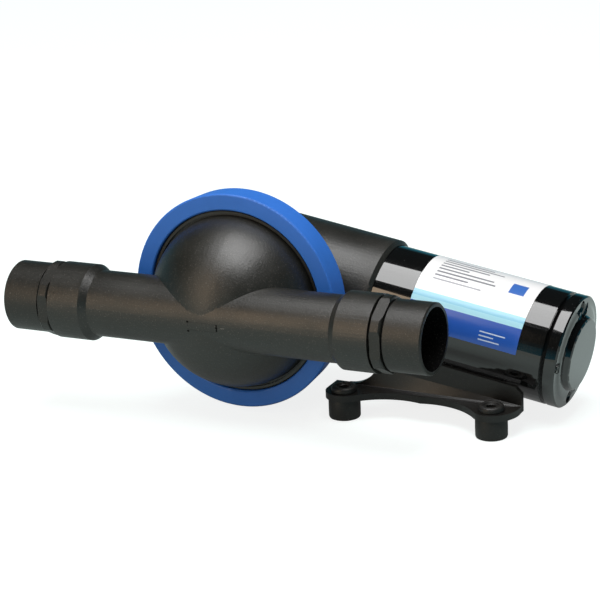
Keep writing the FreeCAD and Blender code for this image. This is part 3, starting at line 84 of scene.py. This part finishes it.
def remap(tree, value, low, high, to_low=0.0, to_high=1.0):
    spread = tree.nodes.new("ShaderNodeMapRange")
    tree.links.new(value, spread.inputs["Value"])
    for label, number in (("From Min", low), ("From Max", high), ("To Min", to_low),
                          ("To Max", to_high)):
        if isinstance(number, (int, float)):
            spread.inputs[label].default_value = number
        else:
            tree.links.new(number, spread.inputs[label])
    return spread.outputs["Result"]


def maths(tree, operation, *terms):
    node = tree.nodes.new("ShaderNodeMath")
    node.operation = operation
    for socket, term in zip(node.inputs, terms):
        if isinstance(term, (int, float)):
            socket.default_value = term
        else:
            tree.links.new(term, socket)
    return node.outputs["Value"]


def mixed(tree, factor, under, over):
    """The colour over laid on the colour under, by factor."""
    node = tree.nodes.new("ShaderNodeMix")
    node.data_type = "RGBA"
    for socket, term in zip((node.inputs[0], node.inputs[6], node.inputs[7]),
                            (factor, under, over)):
        if isinstance(term, tuple):
            socket.default_value = (*term, 1)
        elif isinstance(term, (int, float)):
            socket.default_value = term
        else:
            tree.links.new(term, socket)
    return node.outputs[2]


def raised(tree, height, strength, distance):
    bump = tree.nodes.new("ShaderNodeBump")
    bump.inputs["Distance"].default_value = distance
    tree.links.new(height, bump.inputs["Height"])
    if isinstance(strength, (int, float)):
        bump.inputs["Strength"].default_value = strength
    else:
        tree.links.new(strength, bump.inputs["Strength"])
    return bump.outputs["Normal"]


def moulded_skin():
    """Grain of a spark-eroded mould: cloudy colour, uneven gloss, pale flecks and a fine bump."""
    group, given, result = new_group(
        "Moulded skin",
        [("Place", "Vector", None), ("Colour", "Color", (0.02, 0.02, 0.02, 1)),
         ("Fleck colour", "Color", (0.2, 0.2, 0.2, 1)), ("Cloudiness", "Float", 0.15),
         ("Flecks", "Float", 0.3), ("Roughness", "Float", 0.45), ("Grain size", "Float", 1500.0),
         ("Grain height", "Float", 0.3)],
        [("Colour", "Color", None), ("Roughness", "Float", None), ("Normal", "Vector", None)])
    cloud = remap(group, noise(group, given["Place"], 45, 5), 0.3, 0.7, -1, 1)
    swing = maths(group, "MULTIPLY_ADD", cloud, given["Cloudiness"], 1)
    shade = group.nodes.new("ShaderNodeVectorMath")
    shade.operation = "SCALE"
    group.links.new(given["Colour"], shade.inputs[0])
    group.links.new(swing, shade.inputs["Scale"])
    fleck = remap(group, noise(group, given["Place"], 1500, 1), 0.62, 0.74)
    fleck = maths(group, "MULTIPLY", fleck, given["Flecks"])
    group.links.new(mixed(group, fleck, shade.outputs["Vector"], given["Fleck colour"]),
                    result["Colour"])
    group.links.new(maths(group, "MULTIPLY", given["Roughness"], swing), result["Roughness"])
    grain = noise(group, given["Place"], given["Grain size"], 3)
    group.links.new(raised(group, grain, given["Grain height"], 0.0001), result["Normal"])
    return group


skin_group = moulded_skin()


FLECK_COLOUR = (0.12, 0.11, 0.10, 1)


def moulded(name, colour, roughness=0.45, cloudiness=0.15, grain=1500.0, height=0.3,
            flecks=0.3, specular=0.5):
    material, tree, shader, place = new_material(name)
    skin = tree.nodes.new("ShaderNodeGroup")
    skin.node_tree = skin_group
    tree.links.new(place, skin.inputs["Place"])
    for label, value in (("Colour", (*colour, 1)), ("Fleck colour", FLECK_COLOUR),
                         ("Cloudiness", cloudiness), ("Flecks", flecks),
                         ("Roughness", roughness), ("Grain size", grain),
                         ("Grain height", height)):
        skin.inputs[label].default_value = value
    shader.inputs["Specular IOR Level"].default_value = specular
    for label, target in (("Colour", "Base Color"), ("Roughness", "Roughness"),
                          ("Normal", "Normal")):
        tree.links.new(skin.outputs[label], shader.inputs[target])
    return material


def body_of(node):
    return [name for name, members in bodies.items() if node in members][0]


def shown(name, mesh, body, stands_for):
    """Links a finished mesh as a piece of the pump, in place of a CAD node if one is named."""
    piece = bpy.data.objects.new(name, mesh)
    bpy.context.collection.objects.link(piece)
    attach(piece, body)
    if stands_for:
        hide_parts(stands_for)
    return piece


SMOOTH_DEGREES = 12


def smoothed(node, material):
    """The same shape as a CAD node, with its corners merged, shaded as curved."""
    mesh = nodes[node].data.copy()
    mesh.name = node + "_skin"
    work = bmesh.new()
    work.from_mesh(mesh)
    bmesh.ops.remove_doubles(work, verts=work.verts, dist=2e-6)
    bmesh.ops.dissolve_degenerate(work, edges=work.edges, dist=1e-7)
    for face in work.faces:
        face.smooth = True
    work.to_mesh(mesh)
    work.free()
    mesh.set_sharp_from_angle(angle=math.radians(SMOOTH_DEGREES))
    mesh.materials.clear()
    mesh.materials.append(material)
    piece = shown(node + "_skin", mesh, body_of(node), node)
    flats = piece.modifiers.new("Flats stay flat", "WEIGHTED_NORMAL")
    flats.keep_sharp = True
    flats.weight = 100
    return piece


black_nylon = moulded("Black nylon", (0.0134, 0.0132, 0.0104), roughness=0.40, grain=1000.0,
                      height=1.0, flecks=0.45, specular=0.7)
smoothed("pump_body", black_nylon)

# ---- Clamp ring ----------------------------------------------------------------------------
# Bayonet ring in blue acetal. It is turned by hand, and its four lugs pull the head down on the
# diaphragm. The face is smoother than the black mouldings.

blue_acetal = moulded("Blue acetal", (0.030, 0.165, 0.62), roughness=0.42, cloudiness=0.05,
                      grain=1800.0, height=0.10, flecks=0.0)
smoothed("clamp_ring", blue_acetal)

# ---- Pump head -----------------------------------------------------------------------------
# Domed head with the manifold tube moulded across it, in the same black nylon as the body.

smoothed("pump_head", black_nylon)

# ---- Insert mark on the manifold -----------------------------------------------------------
# Witness of a plain rectangular insert in the mould: four faint seams on the front of the tube, with near-black
# patches of painted shade for the sunk corners at the inlet side and a pale patch of painted highlight on a short
# flash at the outlet side.

mounts = {mount["name"]: mount for mount in frame["record"]["mounts"]}
inlet, outlet = (Vector(mounts[name]["pos_m"]) for name in ("inlet_spigot", "outlet_spigot"))
flow = (outlet - inlet).normalized()
manifold_middle = (inlet + outlet) / 2
manifold_up = Vector((-flow.z, 0, flow.x))
MIDDLE_FROM_AXIS = 4.0
MANIFOLD_RADIUS = 18.5
MILLIMETRE = 0.001


def film(work, start, along, across, radius, span, turns, thickness, steps):
    """A thin curved patch on a cylinder: span in mm along it, turns in degrees from -Y up."""
    rows = []
    for step in range(steps + 1):
        angle = math.radians(turns[0] + (turns[1] - turns[0]) * step / steps)
        out = Vector((0, -1, 0)) * math.cos(angle) + across * math.sin(angle)
        rows.append([work.verts.new(start + along * (place * MILLIMETRE)
                                    + out * ((radius + lift) * MILLIMETRE))
                     for lift in (0.0, thickness) for place in span])
    for low, high in zip(rows, rows[1:]):
        work.faces.new((low[2], low[3], high[3], high[2]))
        work.faces.new((low[1], low[0], high[0], high[1]))
        work.faces.new((low[0], low[2], high[2], high[0]))
        work.faces.new((low[3], low[1], high[1], high[3]))
    work.faces.new((rows[0][0], rows[0][1], rows[0][3], rows[0][2]))
    work.faces.new((rows[-1][1], rows[-1][0], rows[-1][2], rows[-1][3]))


CREASE_DEGREES = 32


def finished(work, name, material):
    """Turns a bmesh into a mesh with its faces outwards."""
    bmesh.ops.recalc_face_normals(work, faces=work.faces)
    for face in work.faces:
        face.smooth = True
    mesh = bpy.data.meshes.new(name)
    work.to_mesh(mesh)
    work.free()
    mesh.set_sharp_from_angle(angle=math.radians(CREASE_DEGREES))
    mesh.materials.append(material)
    return mesh


# Patches: from and to in mm along the flow from the pump's axis, then in degrees round the tube.
SEAMS = ((-6.2, 11.2, 4.6, 5.0), (-6.2, 11.2, -9.4, -9.0), (-6.3, -6.1, -11, 5),
         (11.0, 11.2, -9, 5))
# Sink patches carry painted shade.
SINK_SHADES = ((-6.9, -5.7, 3.4, 6.6), (-6.9, -5.7, -13.2, -10.4), (10.9, 11.7, -7.5, 4.5),
         (10.5, 11.9, -2.2, -0.2))
# The flash patch carries a painted highlight.
FLASH_HIGHLIGHT = ((13.6, 16.2, -1.3, -0.7),)
PATCH_THICKNESS = 0.09
PATCH_SUNK = 0.05
for name, patches, material in (
        ("insert_seams", SEAMS,
         moulded("Mould seam", (0.010, 0.010, 0.009), roughness=0.55)),
        # Near-black with almost no gloss: painted shade in the sunk corners.
        ("insert_sinks", SINK_SHADES,
         moulded("Sunk corner painted shade", (0.002, 0.002, 0.002), roughness=0.8, specular=0.1)),
        # Pale grey: painted highlight on the flash.
        ("insert_flash", FLASH_HIGHLIGHT, moulded("Flash painted highlight", (0.22, 0.21, 0.19), roughness=0.5))):
    work = bmesh.new()
    for low, high, bottom, top in patches:
        film(work, manifold_middle, flow, manifold_up, MANIFOLD_RADIUS - PATCH_SUNK,
             (low - MIDDLE_FROM_AXIS, high - MIDDLE_FROM_AXIS), (bottom, top),
             PATCH_THICKNESS, steps=2)
    shown(name, finished(work, name, material), "head", None)

# ---- Hose ports ----------------------------------------------------------------------------
# Two plug-in spigots for 38 mm hose, with six-sided flanges to hold them by. Their bores and the grooves behind
# the hose stops get a near-black, dull nylon: painted shade for the dark inside these recesses.

port_nylon = moulded("Port nylon", (0.0125, 0.0122, 0.0096), roughness=0.42, grain=1000.0,
                     height=0.9, flecks=0.4, specular=0.6)
# Painted shade: near-black nylon with almost no gloss, laid on the bore and groove faces.
painted_shade_nylon = moulded("Painted shade nylon", (0.0020, 0.0020, 0.0020), roughness=0.75, specular=0.08)
BORE_RADIUS = 17.4
GROOVE_RADIUS = 19.1
COLLAR_MOUTH = 97.4
HOSE_STOP = 105.6
FACING_IN = -0.3
for side in ("inlet_port", "outlet_port"):
    port = smoothed(side, port_nylon)
    port.data.materials.append(painted_shade_nylon)
    for face in port.data.polygons:
        away = face.center - manifold_middle
        reach = abs(away.dot(flow)) / MILLIMETRE
        away -= flow * away.dot(flow)
        in_bore = face.normal.dot(away) < FACING_IN * away.length < 0 and (
            away.length < BORE_RADIUS * MILLIMETRE)
        in_groove = COLLAR_MOUTH < reach < HOSE_STOP and (
            away.length < GROOVE_RADIUS * MILLIMETRE)
        # Faces in the bores and in the grooves take the painted shade.
        face.material_index = int(in_bore or in_groove)

# ---- Motor ---------------------------------------------------------------------------------
# Rolled steel tube and cast end cap, both stoved in gloss black.

motor_spin = {joint["name"]: joint for joint in frame["joints"]}["motor_spin"]
motor_axis = Vector(motor_spin["axis"])
crossing = Vector(motor_spin["pos_m"])
motor_up = Vector((-motor_axis.z, 0, motor_axis.x))


def painted(name, colour, roughness, coat):
    """Stoved paint: a little orange peel, dust nibs and uneven gloss under a clear top."""
    material, tree, shader, place = new_material(name)
    nib = remap(tree, noise(tree, place, 900, 1), 0.74, 0.80)
    tree.links.new(mixed(tree, nib, colour, (0.05, 0.05, 0.05)), shader.inputs["Base Color"])
    tree.links.new(remap(tree, noise(tree, place, 30, 3), 0.3, 0.7, roughness * 0.8,
                         roughness * 1.2), shader.inputs["Roughness"])
    shader.inputs["Coat Weight"].default_value = coat
    shader.inputs["Coat Roughness"].default_value = 0.03
    tree.links.new(raised(tree, noise(tree, place, 350.0), 0.15, 0.00002), shader.inputs["Normal"])
    return material


gloss_black = painted("Gloss black paint", (0.004, 0.004, 0.004), roughness=0.10, coat=1.0)
smoothed("motor_tube", gloss_black)
smoothed("motor_end_cap", gloss_black)

# ---- Rating label --------------------------------------------------------------------------
# Printed film stuck round the motor tube. It is generic: plain bands of two blues under a white
# field with ruled lines and a plain block, and no words.

MOTOR_RADIUS = 31.75
LABEL_SPAN = (90.8, 156.8)
LABEL_TURN = (5.0, 128.0)
GLUE = 0.02
LABEL_THICKNESS = 0.12


def ruled_lines():
    """Mask of thin parallel lines of uneven length. Place is in mm along and degrees round."""
    group, given, result = new_group(
        "Ruled lines",
        [("Place", "Vector", None), ("First", "Float", 60.0), ("Last", "Float", 90.0),
         ("Left", "Float", 97.0), ("Length", "Float", 34.0), ("Pitch", "Float", 4.0),
         ("Weight", "Float", 0.4)],
        [("Mask", "Float", None)])
    parts = group.nodes.new("ShaderNodeSeparateXYZ")
    group.links.new(given["Place"], parts.inputs[0])
    row = maths(group, "DIVIDE", maths(group, "SUBTRACT", parts.outputs["Y"], given["First"]),
                given["Pitch"])
    number = maths(group, "FLOOR", row)
    line = maths(group, "LESS_THAN", maths(group, "FRACT", row), given["Weight"])
    chance = group.nodes.new("ShaderNodeTexWhiteNoise")
    chance.noise_dimensions = "1D"
    group.links.new(number, chance.inputs["W"])
    share = remap(group, chance.outputs["Value"], 0, 1, 0.45, 1)
    end = maths(group, "MULTIPLY_ADD", share, given["Length"], given["Left"])
    inside = [maths(group, "LESS_THAN", parts.outputs["X"], end),
              maths(group, "GREATER_THAN", parts.outputs["X"], given["Left"]),
              maths(group, "GREATER_THAN", parts.outputs["Y"], given["First"]),
              maths(group, "LESS_THAN", parts.outputs["Y"], given["Last"])]
    for test in inside:
        line = maths(group, "MULTIPLY", line, test)
    group.links.new(line, result["Mask"])
    return group


def label_print():
    material, tree, shader, _ = new_material("Label print")
    printed = tree.nodes.new("ShaderNodeUVMap")
    printed.uv_map = "print"
    parts = tree.nodes.new("ShaderNodeSeparateXYZ")
    tree.links.new(printed.outputs["UV"], parts.inputs[0])
    along, around = parts.outputs["X"], parts.outputs["Y"]
    lines = ruled_lines()

    def rules(**values):
        node = tree.nodes.new("ShaderNodeGroup")
        node.node_tree = lines
        tree.links.new(printed.outputs["UV"], node.inputs["Place"])
        for label, value in values.items():
            node.inputs[label].default_value = value
        return node.outputs["Mask"]

    def between(value, low, high):
        return maths(tree, "MULTIPLY", maths(tree, "GREATER_THAN", value, low),
                     maths(tree, "LESS_THAN", value, high))

    colour = mixed(tree, maths(tree, "LESS_THAN", around, 43.0), (0.86, 0.87, 0.88),
                   (0.28, 0.62, 0.80))
    colour = mixed(tree, maths(tree, "LESS_THAN", around, 36.5), colour, (0.40, 0.74, 0.86))
    colour = mixed(tree, maths(tree, "LESS_THAN", around, 31.0), colour, (0.020, 0.10, 0.46))
    block = maths(tree, "MULTIPLY", between(along, 141, 150), between(around, 66, 82))
    colour = mixed(tree, block, colour, (0.045, 0.15, 0.50))
    colour = mixed(tree, rules(First=58.0, Last=100.0, Left=98.0, Length=37.0, Pitch=5.2,
                               Weight=0.42), colour, (0.22, 0.23, 0.26))
    colour = mixed(tree, rules(First=10.0, Last=22.0, Left=134.0, Length=16.0, Pitch=4.0,
                               Weight=0.3), colour, (0.62, 0.70, 0.84))
    tree.links.new(colour, shader.inputs["Base Color"])
    gloss = noise(tree, printed.outputs["UV"], 0.35, 3)
    tree.links.new(remap(tree, gloss, 0.3, 0.7, 0.275, 0.285), shader.inputs["Roughness"])
    shader.inputs["Coat Weight"].default_value = 0.5
    shader.inputs["Coat Roughness"].default_value = 0.12
    return material


work = bmesh.new()
film(work, crossing, motor_axis, motor_up, MOTOR_RADIUS + GLUE, LABEL_SPAN, LABEL_TURN,
     LABEL_THICKNESS, steps=60)
label_mesh = finished(work, "rating_label", label_print())
prints = label_mesh.uv_layers.new(name="print")
for loop in label_mesh.loops:
    spot = label_mesh.vertices[loop.vertex_index].co - crossing
    prints.data[loop.index].uv = (
        spot.dot(motor_axis) / MILLIMETRE,
        math.degrees(math.atan2(spot.dot(motor_up), -spot.y)))
label = shown("rating_label", label_mesh, "housing", None)

# ---- Through bolts -------------------------------------------------------------------------
# Two long slotted screws that pull the end cap, the tube and the casing together. Blackened,
# with the plating showing through on the heads.

BOLT_CIRCLE = 27.0
BOLT_LENGTH = 154.7
BOLT_SEAT = 178.2


def layout_tree():
    """Copies of one part at the crossings of a grid, all turned the same way."""
    tree = bpy.data.node_groups.new("Set of like parts", "GeometryNodeTree")
    for label, kind, value in (("Part", "Object", None), ("Count along", "Int", 2),
                               ("Count across", "Int", 2), ("Spacing along", "Float", 0.05),
                               ("Spacing across", "Float", 0.05), ("Middle", "Vector", None),
                               ("Turn", "Rotation", None), ("Finish", "Material", None)):
        socket = tree.interface.new_socket(label, in_out="INPUT", socket_type="NodeSocket" + kind)
        if value is not None:
            socket.default_value = value
    tree.interface.new_socket("Geometry", in_out="OUTPUT", socket_type="NodeSocketGeometry")
    given = tree.nodes.new("NodeGroupInput").outputs
    grid, move, part, copies, real, paint, result = (
        tree.nodes.new(kind) for kind in (
            "GeometryNodeMeshGrid", "GeometryNodeTransform", "GeometryNodeObjectInfo",
            "GeometryNodeInstanceOnPoints", "GeometryNodeRealizeInstances",
            "GeometryNodeSetMaterial", "NodeGroupOutput"))
    for source, target in (
            (given["Count along"], grid.inputs["Vertices X"]),
            (given["Count across"], grid.inputs["Vertices Y"]),
            (given["Spacing along"], grid.inputs["Size X"]),
            (given["Spacing across"], grid.inputs["Size Y"]),
            (grid.outputs["Mesh"], move.inputs["Geometry"]),
            (given["Middle"], move.inputs["Translation"]),
            (given["Turn"], move.inputs["Rotation"]),
            (given["Part"], part.inputs["Object"]),
            (move.outputs["Geometry"], copies.inputs["Points"]),
            (part.outputs["Geometry"], copies.inputs["Instance"]),
            (given["Turn"], copies.inputs["Rotation"]),
            (copies.outputs["Instances"], real.inputs["Geometry"]),
            (real.outputs["Geometry"], paint.inputs["Geometry"]),
            (given["Finish"], paint.inputs["Material"]),
            (paint.outputs["Geometry"], result.inputs["Geometry"])):
        tree.links.new(source, target)
    return tree


like_parts = layout_tree()


def laid_out(name, mesh, material, body, stands_for, values):
    """Runs the layout on one part and keeps the result as a plain mesh."""
    blank = bpy.data.objects.new(name + "_blank", mesh)
    carrier = bpy.data.objects.new(name, bpy.data.meshes.new(name))
    for thing in (blank, carrier):
        bpy.context.collection.objects.link(thing)
    layout = carrier.modifiers.new("Layout", "NODES")
    layout.node_group = like_parts
    values = dict(values, Part=blank, Finish=material)
    for item in like_parts.interface.items_tree:
        if item.in_out == "INPUT" and item.name in values:
            layout[item.identifier] = values[item.name]
    graph = bpy.context.evaluated_depsgraph_get()
    result = bpy.data.meshes.new_from_object(carrier.evaluated_get(graph))
    carrier.modifiers.remove(layout)
    for thing in (blank, carrier):
        bpy.data.objects.remove(thing)
    result.name = name
    result.set_sharp_from_angle(angle=math.radians(CREASE_DEGREES))
    return shown(name, result, body, stands_for)


def lathe(rows, steps=48, closed=False):
    """A turned shape about Z, from (radius, height) rows in mm. A radius may be a function of
    the angle. Closed joins the last row to the first, and otherwise both ends are filled."""
    work = bmesh.new()
    rings = []
    for radius, height in rows:
        ring = []
        for step in range(steps):
            angle = 2 * math.pi * step / steps
            reach = radius(angle) if callable(radius) else radius
            ring.append(work.verts.new((reach * math.cos(angle) * MILLIMETRE,
                                        reach * math.sin(angle) * MILLIMETRE,
                                        height * MILLIMETRE)))
        rings.append(ring)
    for low, high in zip(rings, rings[1:] + (rings[:1] if closed else [])):
        for step in range(steps):
            after = (step + 1) % steps
            work.faces.new((low[step], low[after], high[after], high[step]))
    if not closed:
        work.faces.new(rings[0])
        work.faces.new(rings[-1])
    return work


def slot_outline(angle, half_length=2.5, half_width=0.5):
    return min(half_length / max(abs(math.cos(angle)), 1e-6),
               half_width / max(abs(math.sin(angle)), 1e-6))


def worn_metal():
    """Metal with uneven gloss, fine scratches and pale rubbed spots."""
    group, given, result = new_group(
        "Worn metal",
        [("Place", "Vector", None), ("Colour", "Color", (0.5, 0.5, 0.5, 1)),
         ("Rubbed colour", "Color", (0.7, 0.7, 0.7, 1)), ("Rubbing", "Float", 0.2),
         ("Roughness", "Float", 0.3), ("Scratch height", "Float", 0.2)],
        [("Colour", "Color", None), ("Roughness", "Float", None), ("Normal", "Vector", None)])
    stretch = group.nodes.new("ShaderNodeVectorMath")
    stretch.operation = "MULTIPLY"
    stretch.inputs[1].default_value = (1, 9, 9)
    group.links.new(given["Place"], stretch.inputs[0])
    scratch = noise(group, stretch.outputs["Vector"], 220, 4)
    spots = remap(group, noise(group, given["Place"], 1100, 2), 0.52, 0.62)
    rub = maths(group, "MULTIPLY", spots, given["Rubbing"])
    group.links.new(mixed(group, rub, given["Colour"], given["Rubbed colour"]), result["Colour"])
    gloss = remap(group, noise(group, given["Place"], 160, 3), 0.3, 0.7, 0.75, 1.25)
    group.links.new(maths(group, "MULTIPLY", gloss, given["Roughness"]), result["Roughness"])
    group.links.new(raised(group, scratch, given["Scratch height"], 0.00005), result["Normal"])
    return group


metal_group = worn_metal()


def metal(name, colour, rubbed, rubbing=0.2, roughness=0.3, scratches=0.2):
    material, tree, shader, place = new_material(name)
    wear = tree.nodes.new("ShaderNodeGroup")
    wear.node_tree = metal_group
    tree.links.new(place, wear.inputs["Place"])
    for label, value in (("Colour", (*colour, 1)), ("Rubbed colour", (*rubbed, 1)),
                         ("Rubbing", rubbing), ("Roughness", roughness),
                         ("Scratch height", scratches)):
        wear.inputs[label].default_value = value
    shader.inputs["Metallic"].default_value = 1.0
    for label, target in (("Colour", "Base Color"), ("Roughness", "Roughness"),
                          ("Normal", "Normal")):
        tree.links.new(wear.outputs[label], shader.inputs[target])
    return material


black_steel = metal("Blackened steel", (0.03, 0.03, 0.03), (0.55, 0.55, 0.53), rubbing=0.5,
                    roughness=0.35)
bolt = lathe([(1.5, -BOLT_LENGTH), (1.5, 0), (2.9, 0), (3.1, 0.2), (3.1, 1.9), (2.95, 2.25),
              (2.7, 2.4), (slot_outline, 2.4), (slot_outline, 1.4)])
laid_out("bolt_set", finished(bolt, "bolt_blank", black_steel), black_steel, "housing",
         "through_bolts", {
             "Count along": 1, "Count across": 2, "Spacing across": 2 * BOLT_CIRCLE * MILLIMETRE,
             "Middle": crossing + motor_axis * (BOLT_SEAT * MILLIMETRE),
             "Turn": Matrix((-motor_up, Vector((0, -1, 0)), motor_axis)).transposed().to_euler()})

# ---- Base ----------------------------------------------------------------------------------
# Pressed cradle with two wings, powder-coated in a fine matt black.

powder_coat = moulded("Powder coat", (0.0060, 0.0056, 0.0050), roughness=0.36, cloudiness=0.1,
                      grain=2200.0, height=0.25, flecks=0.15)
smoothed("mounting_base", powder_coat)

# ---- Feet ----------------------------------------------------------------------------------
# Four rubber feet, pushed through the ears of the wings from below. The cap over the plate is
# softly rounded, and a hole for the fixing screw runs through.

holes = mounts["mounting_holes"]
foot = lathe([
    (2.75, 0.3), (3.0, 0.0), (7.9, 0.0), (8.6, 0.3), (8.9, 1.0), (8.95, 5.5), (8.9, 10.8),
    (8.75, 11.3), (8.4, 11.5), (6.0, 11.5), (6.0, 15.3), (6.9, 15.3), (7.3, 15.6), (7.3, 16.8),
    (7.1, 17.6), (6.6, 18.15), (5.9, 18.45), (4.6, 18.5), (4.2, 18.3), (3.9, 17.8),
    (3.1, 17.7), (2.75, 17.4)], steps=64, closed=True)
foot_rubber = moulded("Foot rubber", (0.0085, 0.0080, 0.0070), roughness=0.5, grain=1300.0,
                      flecks=0.2)
laid_out("foot_set", finished(foot, "foot_blank", foot_rubber), foot_rubber, "housing",
         "mounting_feet", {
             "Count along": 2, "Count across": 2,
             "Spacing along": holes["dims"]["spacing_x_mm"] * MILLIMETRE,
             "Spacing across": holes["dims"]["spacing_y_mm"] * MILLIMETRE,
             "Middle": Vector(holes["pos_m"])})

# ---- Cradle screws and lead grommet --------------------------------------------------------
# Pan-head screws hold the motor down in the cradle from below. The grommet lines the hole where
# the leads come out of the end cap.

zinc_plate = metal("Zinc plate", (0.60, 0.60, 0.56), (0.75, 0.75, 0.72), rubbing=0.3,
                   roughness=0.32)
smoothed("cradle_screws", zinc_plate)
smoothed("lead_grommet", moulded("Grommet rubber", (0.010, 0.010, 0.009),
                                 roughness=0.5))

# ---- Working parts -------------------------------------------------------------------------
# Everything that the casing and the motor tube hide. Each keeps its own shape and gets the
# finish of what it is made of.

ground_steel = metal("Ground steel", (0.56, 0.56, 0.57), (0.78, 0.78, 0.78), roughness=0.18)
die_cast = metal("Die-cast zinc", (0.42, 0.43, 0.44), (0.60, 0.60, 0.60), rubbing=0.3,
                 roughness=0.42, scratches=0.3)
FINISHES = (
    (zinc_plate, ("diaphragm_screw", "crank_washer", "crank_screw", "carrier_plate")),
    (ground_steel, ("crank_bearing", "planet_pins", "sun_gear", "motor_shaft",
                    "front_motor_bearing", "rear_motor_bearing")),
    (die_cast, ("diaphragm_back_plate", "diaphragm_front_plate", "connecting_rod", "crankshaft",
                "motor_front_plate")),
    (metal("Sintered bronze", (0.50, 0.33, 0.16), (0.70, 0.50, 0.28), rubbing=0.3, roughness=0.4),
     ("rod_bearing",)),
    (metal("Copper", (0.72, 0.30, 0.14), (0.85, 0.45, 0.25), roughness=0.28),
     ("armature_winding", "commutator")),
    (metal("Stacked sheet", (0.20, 0.20, 0.21), (0.40, 0.40, 0.40), rubbing=0.3,
           roughness=0.45, scratches=0.4),
     ("armature_core",)),
    (moulded("Ferrite", (0.030, 0.030, 0.033), roughness=0.6, cloudiness=0.2, grain=900.0),
     ("field_magnets",)),
    (moulded("Carbon", (0.020, 0.020, 0.021), roughness=0.35, cloudiness=0.2, grain=1400.0,
             height=0.2),
     ("carbon_brushes",)),
    (moulded("White acetal", (0.72, 0.71, 0.66), roughness=0.4, cloudiness=0.04, grain=1200.0,
             height=0.1, flecks=0.05),
     ("ring_gear", "planet_gear_a", "planet_gear_b", "planet_gear_c", "brush_holder")),
    (moulded("Nitrile rubber", (0.014, 0.014, 0.013), roughness=0.55, grain=1100.0,
             height=0.25),
     ("diaphragm", "inlet_valve", "outlet_valve", "port_seals", "shaft_seal")),
)
for material, members in FINISHES:
    for node in members:
        for slot in nodes[node].material_slots:
            slot.material = material

# ---- Floor, light and camera ---------------------------------------------------------------
# A pale floor in a dim studio, with a broad soft box overhead and a low warm panel in front.

HALF_FLOOR = 6
FLOOR_GLOW = 0.82
GLOW_IN_GLOSS = 0.2
floor_mesh = bpy.data.meshes.new("floor")
floor_mesh.from_pydata([(x * HALF_FLOOR, y * HALF_FLOOR, 0)
                        for x, y in ((-1, -1), (1, -1), (1, 1), (-1, 1))], [], [(0, 1, 2, 3)])
floor = bpy.data.objects.new("floor", floor_mesh)
bpy.context.collection.objects.link(floor)
pale, pale_tree, pale_shader, pale_place = new_material("Pale floor")
pale_tree.links.new(mixed(pale_tree, noise(pale_tree, pale_place, 3), (0.26, 0.34, 0.325),
                          (0.28, 0.36, 0.345)), pale_shader.inputs["Base Color"])
pale_shader.inputs["Roughness"].default_value = 0.9
pale_shader.inputs["Emission Color"].default_value = (1, 1, 1, 1)
rays = pale_tree.nodes.new("ShaderNodeLightPath").outputs
seen = maths(pale_tree, "MAXIMUM", rays["Is Camera Ray"], rays["Is Transmission Ray"])
seen = maths(pale_tree, "MULTIPLY_ADD", rays["Is Glossy Ray"], GLOW_IN_GLOSS, seen)
pale_tree.links.new(maths(pale_tree, "MULTIPLY", seen, FLOOR_GLOW),
                    pale_shader.inputs["Emission Strength"])
floor_mesh.materials.append(pale)

world = bpy.data.worlds.new("Studio")
bpy.context.scene.world = world
world.use_nodes = True
studio = world.node_tree
backdrop = studio.nodes["Background"]
rays = studio.nodes.new("ShaderNodeLightPath").outputs
seen = maths(studio, "MAXIMUM", rays["Is Camera Ray"], rays["Is Transmission Ray"])
height = studio.nodes.new("ShaderNodeSeparateXYZ")
studio.links.new(studio.nodes.new("ShaderNodeTexCoord").outputs["Generated"], height.inputs[0])
room = mixed(studio, remap(studio, height.outputs["Z"], 0.05, 0.35), (0.03, 0.20, 0.27),
             (0.006, 0.012, 0.014))
walls = mixed(studio, rays["Is Glossy Ray"], (0.31, 0.31, 0.31), room)
studio.links.new(mixed(studio, seen, walls, (1.0, 1.0, 1.0)), backdrop.inputs["Color"])


def lamp(name, place, aim, size, watts, colour=(1, 1, 1)):
    light = bpy.data.lights.new(name, "AREA")
    light.shape = "RECTANGLE"
    light.size, light.size_y = size
    light.energy = watts
    light.color = colour
    thing = bpy.data.objects.new(name, light)
    thing.location = place
    thing.rotation_euler = (Vector(aim) - Vector(place)).to_track_quat("-Z", "Y").to_euler()
    bpy.context.collection.objects.link(thing)


lamp("Soft box", place=(-0.02, -0.30, 1.25), aim=(-0.02, -0.30, 0), size=(0.95, 1.07),
     watts=17.5)
lamp("Warm panel", place=(-0.62, -1.30, 0.60), aim=(0, 0, 0.06), size=(0.5, 1.1), watts=5.6,
     colour=(1.0, 0.76, 0.54))

azimuth, elevation, roll = math.radians(27.025), math.radians(18.478), math.radians(-2.463)
back = Vector((math.sin(azimuth) * math.cos(elevation), -math.cos(azimuth) * math.cos(elevation),
               math.sin(elevation)))
level = Vector((math.cos(azimuth), math.sin(azimuth), 0))
upright = back.cross(level)
right = level * math.cos(roll) + upright * math.sin(roll)
STANDPOINT = (0.55096875, -1.25805453, 0.52142045)
camera = bpy.data.objects.new("Camera", bpy.data.cameras.new("Camera"))
camera.data.lens = 156
camera.data.sensor_width = 36
camera.data.clip_end = 20
turn = Matrix((right, back.cross(right), back)).transposed().to_4x4()
camera.matrix_world = Matrix.Translation(STANDPOINT) @ turn
bpy.context.collection.objects.link(camera)
bpy.context.scene.camera = camera
bpy.context.scene.view_settings.view_transform = "Standard"
